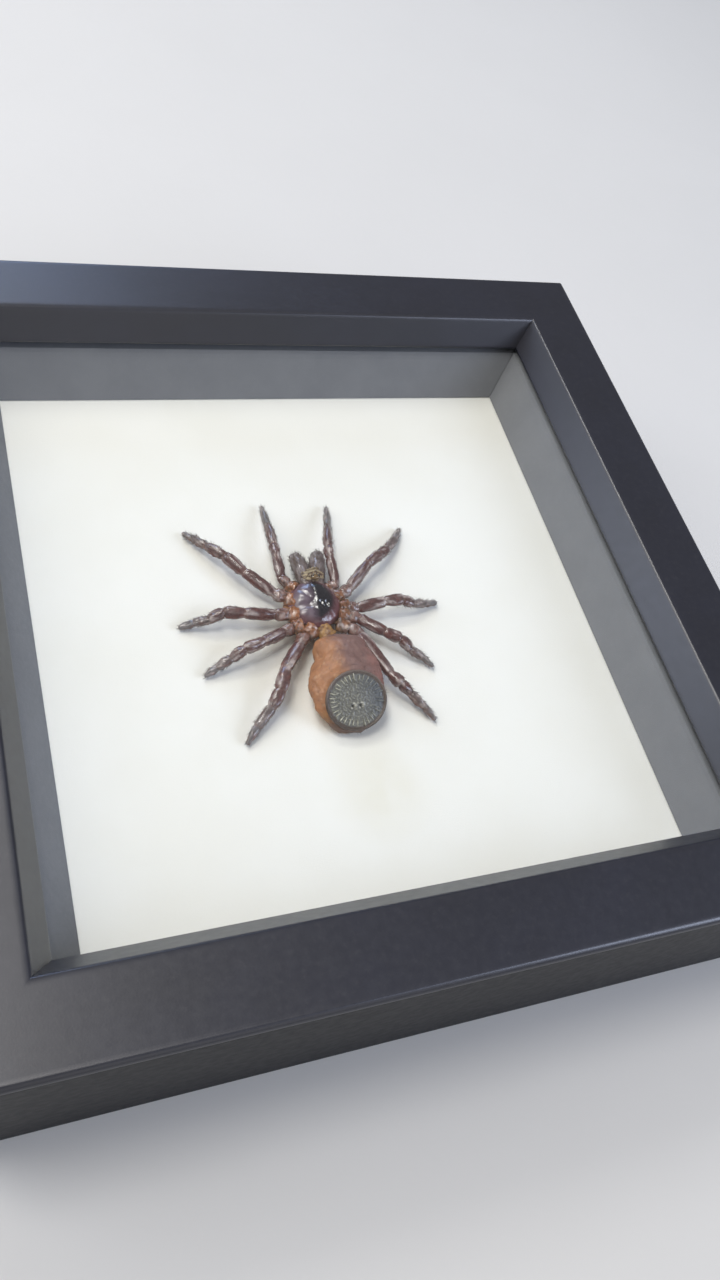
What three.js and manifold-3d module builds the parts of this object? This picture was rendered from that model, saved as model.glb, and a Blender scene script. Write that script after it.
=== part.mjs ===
// A spider specimen in a square shadow-box frame.
// Millimetres, +Z up. The frame lies on its back with its glazed front up, the spider's head
// towards +Y. The origin is the middle of the frame's back.

import * as THREE from 'three';
import { mergeVertices } from 'three/addons/utils/BufferGeometryUtils.js';
import Module from 'manifold-3d';

// Moulding, as half widths from the middle of the frame
const OUTER = 76.5;          // outside of the frame
const OPENING = 63.1;        // edge of the flat face around the window
const SIGHT = 59.8;          // back edge of the sloped lip
const RABBET = 66.0;         // wall of the rabbet that holds glass, mat and backing
const DEPTH = 39.5;          // front face above the back
const LIP_DEPTH = 6.4;       // front face to the back of the lip
const FACE_ROUND = 1.2;      // radius of the outer front edge
const OPENING_ROUND = 1.0;   // reach of the rounding where the face meets the lip
const NOSE = 0.45;           // radius of the rounded nose at the back of the lip
const BACK_CHAMFER = 0.6;
const GAP = 0.2;             // air between pieces that meet
const MITRE_GAP = 0.06;      // half of the joint line at a mitre

// Layers in the rabbet
const GLASS = 1.5;
const MAT_TOP = 22.5;        // face of the white mat above the back
const MAT = 10;
const BACKING = 3;
const LIP_BACK = DEPTH - LIP_DEPTH;
const GLASS_TOP = LIP_BACK - GAP;
const GLASS_BOTTOM = GLASS_TOP - GLASS;
const MAT_BOTTOM = MAT_TOP - MAT;
const BACKING_TOP = MAT_BOTTOM - GAP;
const BACKING_BOTTOM = BACKING_TOP - BACKING;
const LAYER_HALF = RABBET - 0.3;

// Sloped liner panels between the glass and the mat
const LINER_HEAD = 59.9;     // half width at the glass
const LINER_FOOT = { top: 54.2, right: 55, bottom: 57.4, left: 55 };
const LINER_THICK = 1.7;     // measured level, across the slope

// Back fittings
const TAB = { long: 14, wide: 5, thick: 0.6, bite: 5, at: 35 };
const TAB_ROOM = 0.3;
const HANGER = { half: 23, low: 46, high: 54, thick: 0.8, stand: 2.2, foot: 7, teeth: 13, tooth: 1.4 };
const TACK = { head: 1.7, shank: 0.7, headThick: 0.6, into: 2.2, at: 19.5 };
const TACK_ROOM = 0.3;

// Spider
const SPIDER_AT = [-3.75, -1.1];  // where the spider's zero is on the mat, near its carapace's middle
const LIMB_SIDES = 8;
const JOINT_WAIST = 0.8;          // a joint's thickness against its thinner neighbour
const DAB = { radius: 2.2, top: 1.0 };

const SIDES = ['top', 'right', 'bottom', 'left'];
const turnOf = side => -SIDES.indexOf(side) * Math.PI / 2;
const nextSide = (side, step) => SIDES[(SIDES.indexOf(side) + step + 4) % 4];

const FINISH = {
  frame: { color: 0x1c1c22, roughness: 0.38, metalness: 0 },
  liner: { color: 0x6d6e72, roughness: 0.6, metalness: 0 },
  mat: { color: 0xeceae4, roughness: 0.9, metalness: 0 },
  backing: { color: 0x7b5a3c, roughness: 0.85, metalness: 0 },
  steel: { color: 0xb9b9bb, roughness: 0.35, metalness: 1 },
  brass: { color: 0xb08d3f, roughness: 0.35, metalness: 1 },
  spider: { color: 0x5a3a30, roughness: 0.35, metalness: 0 },
  glue: { color: 0xd9d2b8, roughness: 0.3, metalness: 0 },
};

const wasm = await Module();
wasm.setup();

const object = new THREE.Group();

function add(name, geometry, finish, turn = 0, at = [0, 0, 0]) {
  const mesh = new THREE.Mesh(geometry, new THREE.MeshStandardMaterial(finish));
  mesh.name = name;
  mesh.rotation.z = turn;
  mesh.position.set(...at);
  object.add(mesh);
  return mesh;
}

// Solids that are joined or cut

function solid(geometry) {
  const bare = geometry.clone();
  bare.deleteAttribute('normal');
  bare.deleteAttribute('uv');
  const merged = mergeVertices(bare, 1e-5);
  return new wasm.Manifold(new wasm.Mesh({
    numProp: 3,
    vertProperties: new Float32Array(merged.attributes.position.array),
    triVerts: new Uint32Array(merged.index.array),
  }));
}

function geometryOf(manifold) {
  const mesh = manifold.getMesh();
  const geometry = new THREE.BufferGeometry();
  geometry.setAttribute('position', new THREE.BufferAttribute(mesh.vertProperties, 3));
  geometry.setIndex(new THREE.BufferAttribute(mesh.triVerts, 1));
  return geometry;
}

const join = geometries => geometries.map(solid).reduce((whole, piece) => whole.add(piece));
const cut = (whole, pieces) => pieces.map(solid).reduce((rest, piece) => rest.subtract(piece), whole);

function block(low, high) {
  const size = high.map((value, i) => value - low[i]);
  const middle = high.map((value, i) => (value + low[i]) / 2);
  return new THREE.BoxGeometry(...size).translate(...middle);
}

function post(radius, low, high, at, sides = 10) {
  const geometry = new THREE.CylinderGeometry(radius, radius, high - low, sides);
  return geometry.rotateX(Math.PI / 2).translate(at[0], at[1], (low + high) / 2);
}

// A closed skin over rings of points, with a fan over the first and the last ring.
function skin(rings) {
  const count = rings[0].length;
  const points = rings.flat();
  const centre = ring => ring.reduce((sum, p) => sum.add(p), new THREE.Vector3()).divideScalar(count);
  const first = points.push(centre(rings[0])) - 1;
  const last = points.push(centre(rings.at(-1))) - 1;
  const index = [];
  const tail = (rings.length - 1) * count;
  for (let j = 0; j < count; j++) {
    const k = (j + 1) % count;
    for (let i = 0; i < tail; i += count) {
      index.push(i + j, i + k, i + count + k, i + j, i + count + k, i + count + j);
    }
    index.push(first, k, j, last, tail + j, tail + k);
  }
  const geometry = new THREE.BufferGeometry().setFromPoints(points);
  geometry.setIndex(index);
  return geometry;
}

// A straight bar on the top side of the frame, with mitred ends. The profile's points go
// counter-clockwise; halfWidth gives the distance from the middle of the frame on a side.
function mitredBar(profile, side, halfWidth, height) {
  const geometry = new THREE.ExtrudeGeometry(profile, { depth: 1, bevelEnabled: false, curveSegments: 4 });
  const place = geometry.attributes.position;
  for (let i = 0; i < place.count; i++) {
    const [u, v, along] = [place.getX(i), place.getY(i), place.getZ(i)];
    const start = MITRE_GAP - halfWidth(nextSide(side, -1), u, v);
    const end = halfWidth(nextSide(side, 1), u, v) - MITRE_GAP;
    place.setXYZ(i, along > 0.5 ? end : start, halfWidth(side, u, v), height(u, v));
  }
  return geometry;
}

function railProfile() {
  const lean = Math.atan2(OPENING - SIGHT, LIP_DEPTH - NOSE);
  const below = OPENING_ROUND / 2;
  const shape = new THREE.Shape();
  shape.moveTo(RABBET, 0);
  shape.lineTo(OUTER - BACK_CHAMFER, 0);
  shape.lineTo(OUTER, BACK_CHAMFER);
  shape.lineTo(OUTER, DEPTH - FACE_ROUND);
  shape.absarc(OUTER - FACE_ROUND, DEPTH - FACE_ROUND, FACE_ROUND, 0, Math.PI / 2, false);
  shape.lineTo(OPENING + OPENING_ROUND, DEPTH);
  shape.quadraticCurveTo(OPENING, DEPTH, OPENING - Math.tan(lean) * below, DEPTH - below);
  shape.absarc(SIGHT + NOSE, LIP_BACK + NOSE, NOSE, Math.PI - lean, 1.5 * Math.PI, false);
  shape.lineTo(RABBET, LIP_BACK);
  shape.closePath();
  return shape;
}

// A tab's slot in the rabbet wall of the top rail
function tabSlot(x) {
  const half = TAB.wide / 2 + TAB_ROOM;
  const top = BACKING_BOTTOM - TAB_ROOM;
  return block(
    [x - half, RABBET - 1, top - TAB.thick - TAB_ROOM],
    [x + half, RABBET + TAB.bite + TAB_ROOM, top + TAB_ROOM],
  );
}

function buildRails() {
  for (const side of SIDES) {
    const bar = mitredBar(railProfile(), side, (at, u) => u, (u, v) => v);
    const rail = cut(solid(bar), [tabSlot(-TAB.at), tabSlot(TAB.at)]);
    add(`rail_${side}`, geometryOf(rail), FINISH.frame, turnOf(side));
  }
}

function buildLiners() {
  // The profile runs from foot (v = 0) to head (v = 1), and outwards from its face.
  const profile = new THREE.Shape();
  profile.moveTo(0, 0);
  profile.lineTo(LINER_THICK, 0);
  profile.lineTo(LINER_THICK, 1);
  profile.lineTo(0, 1);
  profile.closePath();
  const foot = MAT_TOP + GAP;
  const head = GLASS_BOTTOM - GAP;
  const halfWidth = (side, u, v) => LINER_FOOT[side] + (LINER_HEAD - LINER_FOOT[side]) * v + u;
  for (const side of SIDES) {
    const bar = mitredBar(profile, side, halfWidth, (u, v) => foot + (head - foot) * v);
    add(`liner_${side}`, bar, FINISH.liner, turnOf(side));
  }
}

function buildLayers() {
  const sheet = (low, high) => block([-LAYER_HALF, -LAYER_HALF, low], [LAYER_HALF, LAYER_HALF, high]);
  const glass = { color: 0xffffff, roughness: 0.02, metalness: 0, transparent: true, opacity: 0.2 };
  add('glass_pane', sheet(GLASS_BOTTOM, GLASS_TOP), glass);
  add('mat_board', sheet(MAT_BOTTOM, MAT_TOP), FINISH.mat);
  const y = (HANGER.low + HANGER.high) / 2;
  const holes = [-TACK.at, TACK.at].map(x => post(
    TACK.shank + TACK_ROOM, BACKING_BOTTOM - 1, BACKING_BOTTOM + TACK.into + TACK_ROOM, [x, y]));
  const board = cut(solid(sheet(BACKING_BOTTOM, BACKING_TOP)), holes);
  add('backing_board', geometryOf(board), FINISH.backing);
}

function buildTabs() {
  const top = BACKING_BOTTOM - TAB_ROOM;
  const outer = RABBET + TAB.bite;
  for (const side of SIDES) {
    for (const [end, x] of [['a', -TAB.at], ['b', TAB.at]]) {
      const strip = block(
        [x - TAB.wide / 2, outer - TAB.long, top - TAB.thick],
        [x + TAB.wide / 2, outer, top],
      );
      add(`tab_${side}_${end}`, strip, FINISH.steel, turnOf(side));
    }
  }
}

function buildHanger() {
  const seat = BACKING_BOTTOM - GAP;
  const plate = seat - HANGER.stand;
  const toothed = HANGER.half - HANGER.foot - 1;
  const outline = new THREE.Shape();
  outline.moveTo(-HANGER.half, HANGER.low);
  outline.lineTo(-toothed, HANGER.low);
  const pitch = 2 * toothed / HANGER.teeth;
  for (let i = 0; i < HANGER.teeth; i++) {
    const x = -toothed + i * pitch;
    outline.lineTo(x + pitch / 2, HANGER.low + HANGER.tooth);
    outline.lineTo(x + pitch, HANGER.low);
  }
  outline.lineTo(HANGER.half, HANGER.low);
  outline.lineTo(HANGER.half, HANGER.high);
  outline.lineTo(-HANGER.half, HANGER.high);
  outline.closePath();
  const strip = new THREE.ExtrudeGeometry(outline, { depth: HANGER.thick, bevelEnabled: false });
  strip.translate(0, 0, plate - HANGER.thick);
  const foot = side => block(
    [side > 0 ? HANGER.half - HANGER.foot : -HANGER.half, HANGER.low + 1, plate - HANGER.thick / 2],
    [side > 0 ? HANGER.half : HANGER.foot - HANGER.half, HANGER.high - 1, seat],
  );
  const y = (HANGER.low + HANGER.high) / 2;
  const under = plate - HANGER.thick;
  const holes = [-TACK.at, TACK.at].map(x => post(
    TACK.shank + TACK_ROOM, under - 1, seat + 1, [x, y]));
  const hanger = cut(join([strip, foot(-1), foot(1)]), holes);
  add('hanger', geometryOf(hanger), FINISH.brass);
  for (const [name, x] of [['tack_left', -TACK.at], ['tack_right', TACK.at]]) {
    const headTop = under - GAP;
    const head = post(TACK.head, headTop - TACK.headThick, headTop, [x, y], 12);
    const shank = post(TACK.shank, headTop - TACK.headThick / 2, BACKING_BOTTOM + TACK.into, [x, y]);
    add(name, geometryOf(join([head, shank])), FINISH.brass);
  }
}

// The spider, as lengths from the middle of the carapace on the mat

const v3 = (x, y, z) => new THREE.Vector3(x, y, z);

// Joints of a leg from the body out: coxa's root and end, trochanter, femur, patella, tibia,
// metatarsus and tarsus tip. A palp has no metatarsus.
const LEG = {
  heights: [3.0, 2.8, 3.0, 3.7, 3.4, 2.4, 1.5, 0.8],
  radii: [1.35, 1.15, 1.1, 1.1, 1.0, 0.9, 0.75],
};
const PALP = {
  heights: [3.0, 2.8, 3.0, 3.7, 3.4, 2.4, 0.8],
  radii: [1.2, 1.0, 0.95, 0.95, 0.9, 0.75],
};
const TIP_THINNING = 0.62;

const LIMBS = [
  [PALP, [-3.2, 3.5], [-4.2, 5.1], [-5.4, 6.5], [-5.3, 11.2], [-5.1, 14.1], [-4.8, 19.5], [-4.5, 25.9]],
  [PALP, [2.3, 3.0], [3.8, 3.4], [5.1, 4.5], [5.5, 10.1], [5.8, 12.8], [7.4, 18.6], [9.3, 24.9]],
  [LEG, [-3.7, 0.8], [-5.6, 2.1], [-7.5, 3.2], [-12.4, 8.1], [-15.2, 12.4], [-18.1, 15.7],
    [-20.0, 18.1], [-21.6, 20.1]],
  [LEG, [3.6, 0.9], [5.6, 2.0], [7.7, 3.2], [12.8, 8.1], [15.8, 10.1], [18.6, 12.2],
    [21.4, 15.1], [23.7, 18.2]],
  [LEG, [-3.9, -2.0], [-5.9, -1.5], [-8.5, -1.4], [-14.4, -0.9], [-18.0, -0.1], [-20.9, -1.0],
    [-23.5, -0.8], [-26.3, -1.2]],
  [LEG, [4.2, -1.0], [6.4, -1.0], [7.9, -1.5], [13.7, -1.0], [17.5, -0.7], [20.1, -1.4],
    [23.1, -0.9], [26.1, -0.5]],
  [LEG, [-3.8, -4.3], [-5.8, -4.6], [-7.7, -5.3], [-12.1, -7.3], [-15.8, -8.4], [-18.4, -9.5],
    [-21.2, -10.5], [-23.6, -11.8]],
  [LEG, [3.7, -2.7], [5.9, -3.1], [7.6, -3.9], [11.7, -7.9], [14.5, -9.4], [16.3, -11.4],
    [18.6, -12.8], [20.6, -14.9]],
  [LEG, [-1.9, -5.0], [-3.6, -6.5], [-5.2, -8.2], [-9.4, -13.4], [-11.3, -17.5], [-13.4, -20.1],
    [-16.6, -23.1], [-19.0, -25.9]],
  [LEG, [2.9, -4.6], [5.2, -5.6], [6.8, -7.2], [10.1, -17.0], [11.6, -18.9], [13.4, -20.6],
    [15.6, -23.3], [17.3, -26.0]],
];

// Rings square to a path, one for each [point, radius]
function tube(stations, sides) {
  const rings = stations.map(([point, radius], i) => {
    const before = stations[Math.max(i - 1, 0)][0];
    const after = stations[Math.min(i + 1, stations.length - 1)][0];
    const along = after.clone().sub(before).normalize();
    const across = v3(0, 0, 1).cross(along).normalize();
    const up = along.clone().cross(across);
    return Array.from({ length: sides }, (_, j) => {
      const angle = 2 * Math.PI * j / sides;
      return point.clone()
        .addScaledVector(across, radius * Math.cos(angle))
        .addScaledVector(up, radius * Math.sin(angle));
    });
  });
  return skin(rings);
}

function limb([kind, ...joints]) {
  const points = joints.map(([x, y], i) => v3(x, y, kind.heights[i]));
  const stations = [[points[0], kind.radii[0]]];
  kind.radii.forEach((radius, i) => {
    const [from, to] = [points[i], points[i + 1]];
    const isTip = i === kind.radii.length - 1;
    const at = part => from.clone().lerp(to, part);
    stations.push([at(0.25), radius]);
    stations.push([at(0.75), isTip ? radius * 0.85 : radius]);
    if (isTip) {
      stations.push([at(0.95), radius * TIP_THINNING]);
      stations.push([to, radius * TIP_THINNING / 2]);
    } else {
      stations.push([to, Math.min(radius, kind.radii[i + 1]) * JOINT_WAIST]);
    }
  });
  return tube(stations, LIMB_SIDES);
}

function chelicerae() {
  const left = [[-0.9, 3.5, 3.5], [-1.0, 6.6, 3.7], [-1.25, 9.4, 3.3], [-1.2, 11.3, 2.8], [-0.85, 12.2, 2.3]];
  const right = [[1.0, 3.5, 3.5], [1.7, 6.6, 3.7], [2.5, 9.4, 3.3], [3.2, 11.3, 2.8], [3.5, 12.2, 2.3]];
  const radii = [1.3, 1.55, 1.5, 1.15, 0.5];
  return [left, right].map(path => tube(path.map((p, i) => [v3(...p), radii[i]]), 10));
}

// Carapace and sternum in one: wide behind, narrower and higher at the head, with a pit
const CARAPACE = {
  at: [-0.3, 0.15, 3.0],     // middle of its rim
  halfWide: 5.1,
  halfLong: 5.05,
  headNarrow: 0.12,          // share of the width lost at the front
  rise: 2.3,
  drop: 1.75,
  pitY: -1.4,
  pitDeep: 0.5,
};
const HEAD_FOLDS = { at: [0.25, 5.5, 4.6], half: [2.1, 1.4, 0.9] };

function carapace() {
  const geometry = new THREE.SphereGeometry(1, 24, 16).rotateX(Math.PI / 2);
  const place = geometry.attributes.position;
  for (let i = 0; i < place.count; i++) {
    const [x, y, z] = [place.getX(i), place.getY(i), place.getZ(i)];
    const forward = Math.max(0, y);
    const wide = CARAPACE.halfWide * (1 - CARAPACE.headNarrow * forward * forward);
    const tall = z > 0 ? CARAPACE.rise * (1 + 0.14 * y) : CARAPACE.drop;
    const px = x * wide;
    const py = y * CARAPACE.halfLong;
    const away = Math.hypot(px, py - CARAPACE.pitY) / 0.9;
    const pit = z > 0 ? CARAPACE.pitDeep * Math.exp(-away * away) : 0;
    place.setXYZ(i, px, py, z * tall - pit);
  }
  return geometry.translate(...CARAPACE.at);
}

// The eye hump and the folds of skin between the carapace and the chelicerae
function headFolds() {
  return new THREE.SphereGeometry(1, 14, 8).scale(...HEAD_FOLDS.half).translate(...HEAD_FOLDS.at);
}

function pedicel() {
  return tube([[v3(0.3, -3.6, 2.5), 1.4], [v3(0.5, -6.2, 2.6), 1.4], [v3(0.9, -8.8, 3.2), 1.6]], LIMB_SIDES);
}

// Abdomen: rings from the pedicel to the disc, each tilted back by an angle in degrees.
// [x, y, z of its middle, half width, half height, tilt]
const SAC = [
  [0.8, -7.4, 3.0, 1.6, 1.1, 0],
  [1.5, -8.4, 3.4, 3.9, 2.3, 0],
  [1.7, -9.8, 3.8, 5.0, 3.1, 0],
  [1.6, -12.2, 3.9, 5.6, 3.5, 5],
  [1.3, -14.8, 4.0, 6.5, 3.7, 15],
  [0.9, -17.8, 4.1, 7.1, 4.4, 32],
  [0.7, -20.2, 4.2, 6.95, 5.3, 48],
  [0.75, -21.3, 4.4, 6.6, 6.1, 57],
];
const DISC = {
  at: [1.3, -22.1, 5.2],
  wide: 5.85,
  high: 5.4,
  tilt: 60,
  ribs: 32,
  ribHigh: 0.28,
  rimHigh: 0.35,
};
// Rings of the disc from its edge in: [part of its half sizes, height, how far the ribs show]
const DISC_RINGS = [
  [1.0, 0, 0], [0.95, DISC.rimHigh, 0], [0.89, DISC.rimHigh * 0.6, 0.2], [0.84, -0.05, 1],
  [0.62, 0.0, 1], [0.5, 0.05, 0], [0.3, 0.1, 0],
];
const PITS = { out: 0.22, turn: [-2.2, -0.95], radius: 0.58, lift: 0.45 };

function tiltedRing([x, y, z], wide, high, tilt, lift) {
  const angle = THREE.MathUtils.degToRad(tilt);
  const up = v3(0, Math.sin(angle), Math.cos(angle));
  const out = v3(0, -Math.cos(angle), Math.sin(angle));
  const count = DISC.ribs * 2;
  return Array.from({ length: count }, (_, j) => {
    const turn = 2 * Math.PI * j / count;
    const point = v3(x + wide * Math.cos(turn), y, z).addScaledVector(up, high * Math.sin(turn));
    return point.addScaledVector(out, lift ? lift(j, turn) : 0);
  });
}

function abdomen() {
  const rings = SAC.map(([x, y, z, wide, high, tilt]) => tiltedRing([x, y, z], wide, high, tilt));
  for (const [part, height, ribbed] of DISC_RINGS) {
    const lift = j => height + (j % 2) * ribbed * DISC.ribHigh;
    rings.push(tiltedRing(DISC.at, part * DISC.wide, part * DISC.high, DISC.tilt, lift));
  }
  return skin(rings);
}

// Two pits beside the middle of the disc
function discPits() {
  const angle = THREE.MathUtils.degToRad(DISC.tilt);
  const up = v3(0, Math.sin(angle), Math.cos(angle));
  const out = v3(0, -Math.cos(angle), Math.sin(angle));
  return PITS.turn.map(turn => {
    const at = v3(...DISC.at)
      .add(v3(PITS.out * DISC.wide * Math.cos(turn), 0, 0))
      .addScaledVector(up, PITS.out * DISC.high * Math.sin(turn))
      .addScaledVector(out, PITS.lift);
    return new THREE.SphereGeometry(PITS.radius, 8, 6).translate(at.x, at.y, at.z);
  });
}

function buildSpider() {
  const pieces = [carapace(), headFolds(), pedicel(), abdomen(), ...chelicerae(), ...LIMBS.map(limb)];
  const spider = cut(join(pieces), discPits());
  add('spider', geometryOf(spider), FINISH.spider, 0, [...SPIDER_AT, MAT_TOP]);
  add('glue_dab', post(DAB.radius, GAP, DAB.top, [0, 0], 16), FINISH.glue, 0, [...SPIDER_AT, MAT_TOP]);
}

buildRails();
buildLayers();
buildLiners();
buildTabs();
buildHanger();
buildSpider();

export default object;
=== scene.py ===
"""Finished look of a framed spider specimen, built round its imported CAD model.

Sizes are in millimetres in the classes below and become metres when a mesh is made. The frame
lies on its back with the spider's head towards +Y.
"""

import logging
import math
from dataclasses import dataclass, field
from enum import Enum
from typing import Any, Callable, Sequence

import bmesh
import bpy
import numpy as np
from mathutils import Matrix, Vector, noise

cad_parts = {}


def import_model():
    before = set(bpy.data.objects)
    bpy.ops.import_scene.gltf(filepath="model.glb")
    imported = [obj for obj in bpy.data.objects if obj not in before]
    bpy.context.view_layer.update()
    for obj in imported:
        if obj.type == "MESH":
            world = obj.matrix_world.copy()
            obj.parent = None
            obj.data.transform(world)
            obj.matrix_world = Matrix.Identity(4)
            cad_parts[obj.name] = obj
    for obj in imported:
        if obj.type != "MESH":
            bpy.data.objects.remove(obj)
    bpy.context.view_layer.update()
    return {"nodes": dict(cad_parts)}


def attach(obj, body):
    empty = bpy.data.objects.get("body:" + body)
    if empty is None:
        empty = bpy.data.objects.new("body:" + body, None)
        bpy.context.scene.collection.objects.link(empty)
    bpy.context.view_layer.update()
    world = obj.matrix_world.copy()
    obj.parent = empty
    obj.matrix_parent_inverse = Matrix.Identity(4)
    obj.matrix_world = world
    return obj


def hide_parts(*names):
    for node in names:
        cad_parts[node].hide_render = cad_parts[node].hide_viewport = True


MM = 0.001
BODY = "root"
SIDES = ("top", "right", "bottom", "left")
Colour = tuple[float, float, float]
Point = tuple[float, float, float]

DUST_TONE = "c8c2b8"
DUST_PITCH = 1.2    # millimetres
DUST_DULLS = 0.5    # how much roughness full dust adds
WELD = 1e-7         # metres within which two points are one

log = logging.getLogger("specimen")


def shade(code: str) -> Colour:
    """Turns a hex colour as seen on a screen into linear light.

    Args:
        code: six hex digits.

    Returns:
        Linear red, green and blue.
    """
    values = [int(code[i : i + 2], 16) / 255 for i in (0, 2, 4)]
    return tuple(v / 12.92 if v <= 0.04045 else ((v + 0.055) / 1.055) ** 2.4 for v in values)


def opaque(colour: Colour) -> tuple[float, float, float, float]:
    """A colour with full alpha."""
    return (*colour, 1.0)


# Shader and geometry trees


class Graph:
    """Adds and joins the nodes of one tree."""

    def __init__(self, tree: bpy.types.NodeTree) -> None:
        """Keeps the tree that the nodes go in."""
        self.tree = tree

    def add(self, kind: str, sockets: dict[str | int, Any] | None = None, **settings: Any) -> bpy.types.Node:
        """Adds a node.

        Args:
            kind: the node's type name.
            sockets: for each input, a value or the output that feeds it.
            **settings: the node's own properties.

        Returns:
            The new node.
        """
        node = self.tree.nodes.new(kind)
        for name, value in settings.items():
            setattr(node, name, value)
        for name, value in (sockets or {}).items():
            if isinstance(value, bpy.types.NodeSocket):
                self.tree.links.new(value, node.inputs[name])
            else:
                node.inputs[name].default_value = value
        return node

    def math(self, operation: str, first: Any, second: Any = 0.0) -> bpy.types.NodeSocket:
        """The result of one sum on two values."""
        return self.add("ShaderNodeMath", {0: first, 1: second}, operation=operation).outputs[0]

    def vector(self, operation: str, first: Any, second: Any = (0.0, 0.0, 0.0)) -> bpy.types.NodeSocket:
        """The result of one sum on two vectors."""
        return self.add("ShaderNodeVectorMath", {0: first, 1: second}, operation=operation).outputs[0]

    def scaled(self, vector: Any, factor: Any) -> bpy.types.NodeSocket:
        """A vector made longer or shorter."""
        return self.add("ShaderNodeVectorMath", {0: vector, 3: factor}, operation="SCALE").outputs[0]

    def mix(self, factor: Any, first: Any, second: Any) -> bpy.types.NodeSocket:
        """The colour between two colours."""
        return self.add("ShaderNodeMix", {0: factor, 6: first, 7: second}, data_type="RGBA").outputs[2]

    def span(self, value: Any, low: Any, high: Any, to_low: Any, to_high: Any) -> bpy.types.NodeSocket:
        """A value moved from one range to another and kept inside it."""
        sockets = {0: value, 1: low, 2: high, 3: to_low, 4: to_high}
        return self.add("ShaderNodeMapRange", sockets).outputs[0]

    def place(self) -> bpy.types.NodeSocket:
        """The Object coordinates of a point on the surface."""
        return self.add("ShaderNodeTexCoord").outputs["Object"]

    def patches(self, place: Any, pitch: Any, detail: float, roughness: float = 0.5) -> bpy.types.NodeSocket:
        """Noise from 0 to 1 whose patches are about a pitch wide, in metres."""
        sockets = {"Vector": place, "Scale": self.math("DIVIDE", 1.0, pitch)}
        sockets |= {"Detail": detail, "Roughness": roughness}
        return self.add("ShaderNodeTexNoise", sockets).outputs["Fac"]

    def named(self, name: str, kind: str) -> bpy.types.NodeSocket:
        """A mesh's own attribute, in a geometry tree."""
        node = self.add("GeometryNodeInputNamedAttribute", {"Name": name}, data_type=kind)
        return node.outputs["Attribute"]

    def random(self, low: Any, high: Any, seed: Any, **number: Any) -> bpy.types.NodeSocket:
        """A random value from low to high for each point, or for each ID given."""
        sockets = {2: low, 3: high, "Seed": seed, **number}
        return self.add("FunctionNodeRandomValue", sockets, data_type="FLOAT").outputs[1]

    def group(self, tree: bpy.types.NodeTree, sockets: dict[str, Any]) -> bpy.types.Node:
        """Places a shared effect with its own values."""
        return self.add("ShaderNodeGroup", sockets, node_tree=tree)


class Socket(Enum):
    """Kinds of socket on a shared effect."""

    NUMBER = "NodeSocketFloat"
    WHOLE = "NodeSocketInt"
    COLOUR = "NodeSocketColor"
    VECTOR = "NodeSocketVector"
    SHAPE = "NodeSocketGeometry"
    FINISH = "NodeSocketMaterial"
    THING = "NodeSocketObject"


class Group(Graph):
    """A node group with named inputs and outputs."""

    def __init__(self, name: str, kind: str, inputs: dict[str, Socket], outputs: dict[str, Socket]) -> None:
        """Starts the group.

        Args:
            name: the group's name.
            kind: the type of tree.
            inputs: the name and kind of each input.
            outputs: the name and kind of each output.
        """
        super().__init__(bpy.data.node_groups.new(name, kind))
        for direction, sockets in (("INPUT", inputs), ("OUTPUT", outputs)):
            for label, socket in sockets.items():
                self.tree.interface.new_socket(label, in_out=direction, socket_type=socket.value)
        source = self.add("NodeGroupInput")
        self.given = {label: source.outputs[label] for label in inputs}
        self.out = self.add("NodeGroupOutput")

    def give(self, **results: bpy.types.NodeSocket) -> bpy.types.NodeTree:
        """Joins each result to the output of its name and returns the tree."""
        for label, result in results.items():
            self.tree.links.new(result, self.out.inputs[label])
        return self.tree

    def lay(
        self, points: Any, thing: Any, turn: Any, finish: Any, size: Any = (1, 1, 1)
    ) -> bpy.types.NodeSocket:
        """Lays a thing on each point and makes all of them one mesh with a finish.

        Args:
            points: the points.
            thing: the thing's shape.
            turn: its rotation.
            finish: its material.
            size: its scale.

        Returns:
            The mesh.
        """
        sockets = {"Points": points, "Instance": thing, "Rotation": turn, "Scale": size}
        laid = self.add("GeometryNodeInstanceOnPoints", sockets)
        plain = self.add("GeometryNodeRealizeInstances", {0: laid.outputs[0]})
        sockets = {"Geometry": plain.outputs[0], "Material": finish}
        return self.add("GeometryNodeSetMaterial", sockets).outputs[0]


def grain_effect() -> bpy.types.NodeTree:
    """Fine grain on Object coordinates, for roughness and relief.

    Returns:
        A group with inputs Pitch (metres), Stretch, Low and High and the output Value.
    """
    inputs = {"Pitch": Socket.NUMBER, "Stretch": Socket.VECTOR, "Low": Socket.NUMBER, "High": Socket.NUMBER}
    graph = Group("fine_grain", "ShaderNodeTree", inputs, {"Value": Socket.NUMBER})
    given = graph.given
    cloud = graph.patches(graph.vector("MULTIPLY", graph.place(), given["Stretch"]), given["Pitch"], 4.0)
    return graph.give(Value=graph.span(cloud, 0.32, 0.68, given["Low"], given["High"]))


def mottle_effect() -> bpy.types.NodeTree:
    """Soft patches of a second tone over a first.

    Returns:
        A group with inputs Tone, Shade, Pitch (metres) and Amount and outputs Colour and Mask.
    """
    inputs = {"Tone": Socket.COLOUR, "Shade": Socket.COLOUR, "Pitch": Socket.NUMBER, "Amount": Socket.NUMBER}
    outputs = {"Colour": Socket.COLOUR, "Mask": Socket.NUMBER}
    graph = Group("mottle", "ShaderNodeTree", inputs, outputs)
    given = graph.given
    patch = graph.span(graph.patches(graph.place(), given["Pitch"], 5.0, 0.6), 0.36, 0.66, 0.0, 1.0)
    mask = graph.math("MULTIPLY", patch, given["Amount"])
    return graph.give(Colour=graph.mix(mask, given["Tone"], given["Shade"]), Mask=mask)


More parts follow.
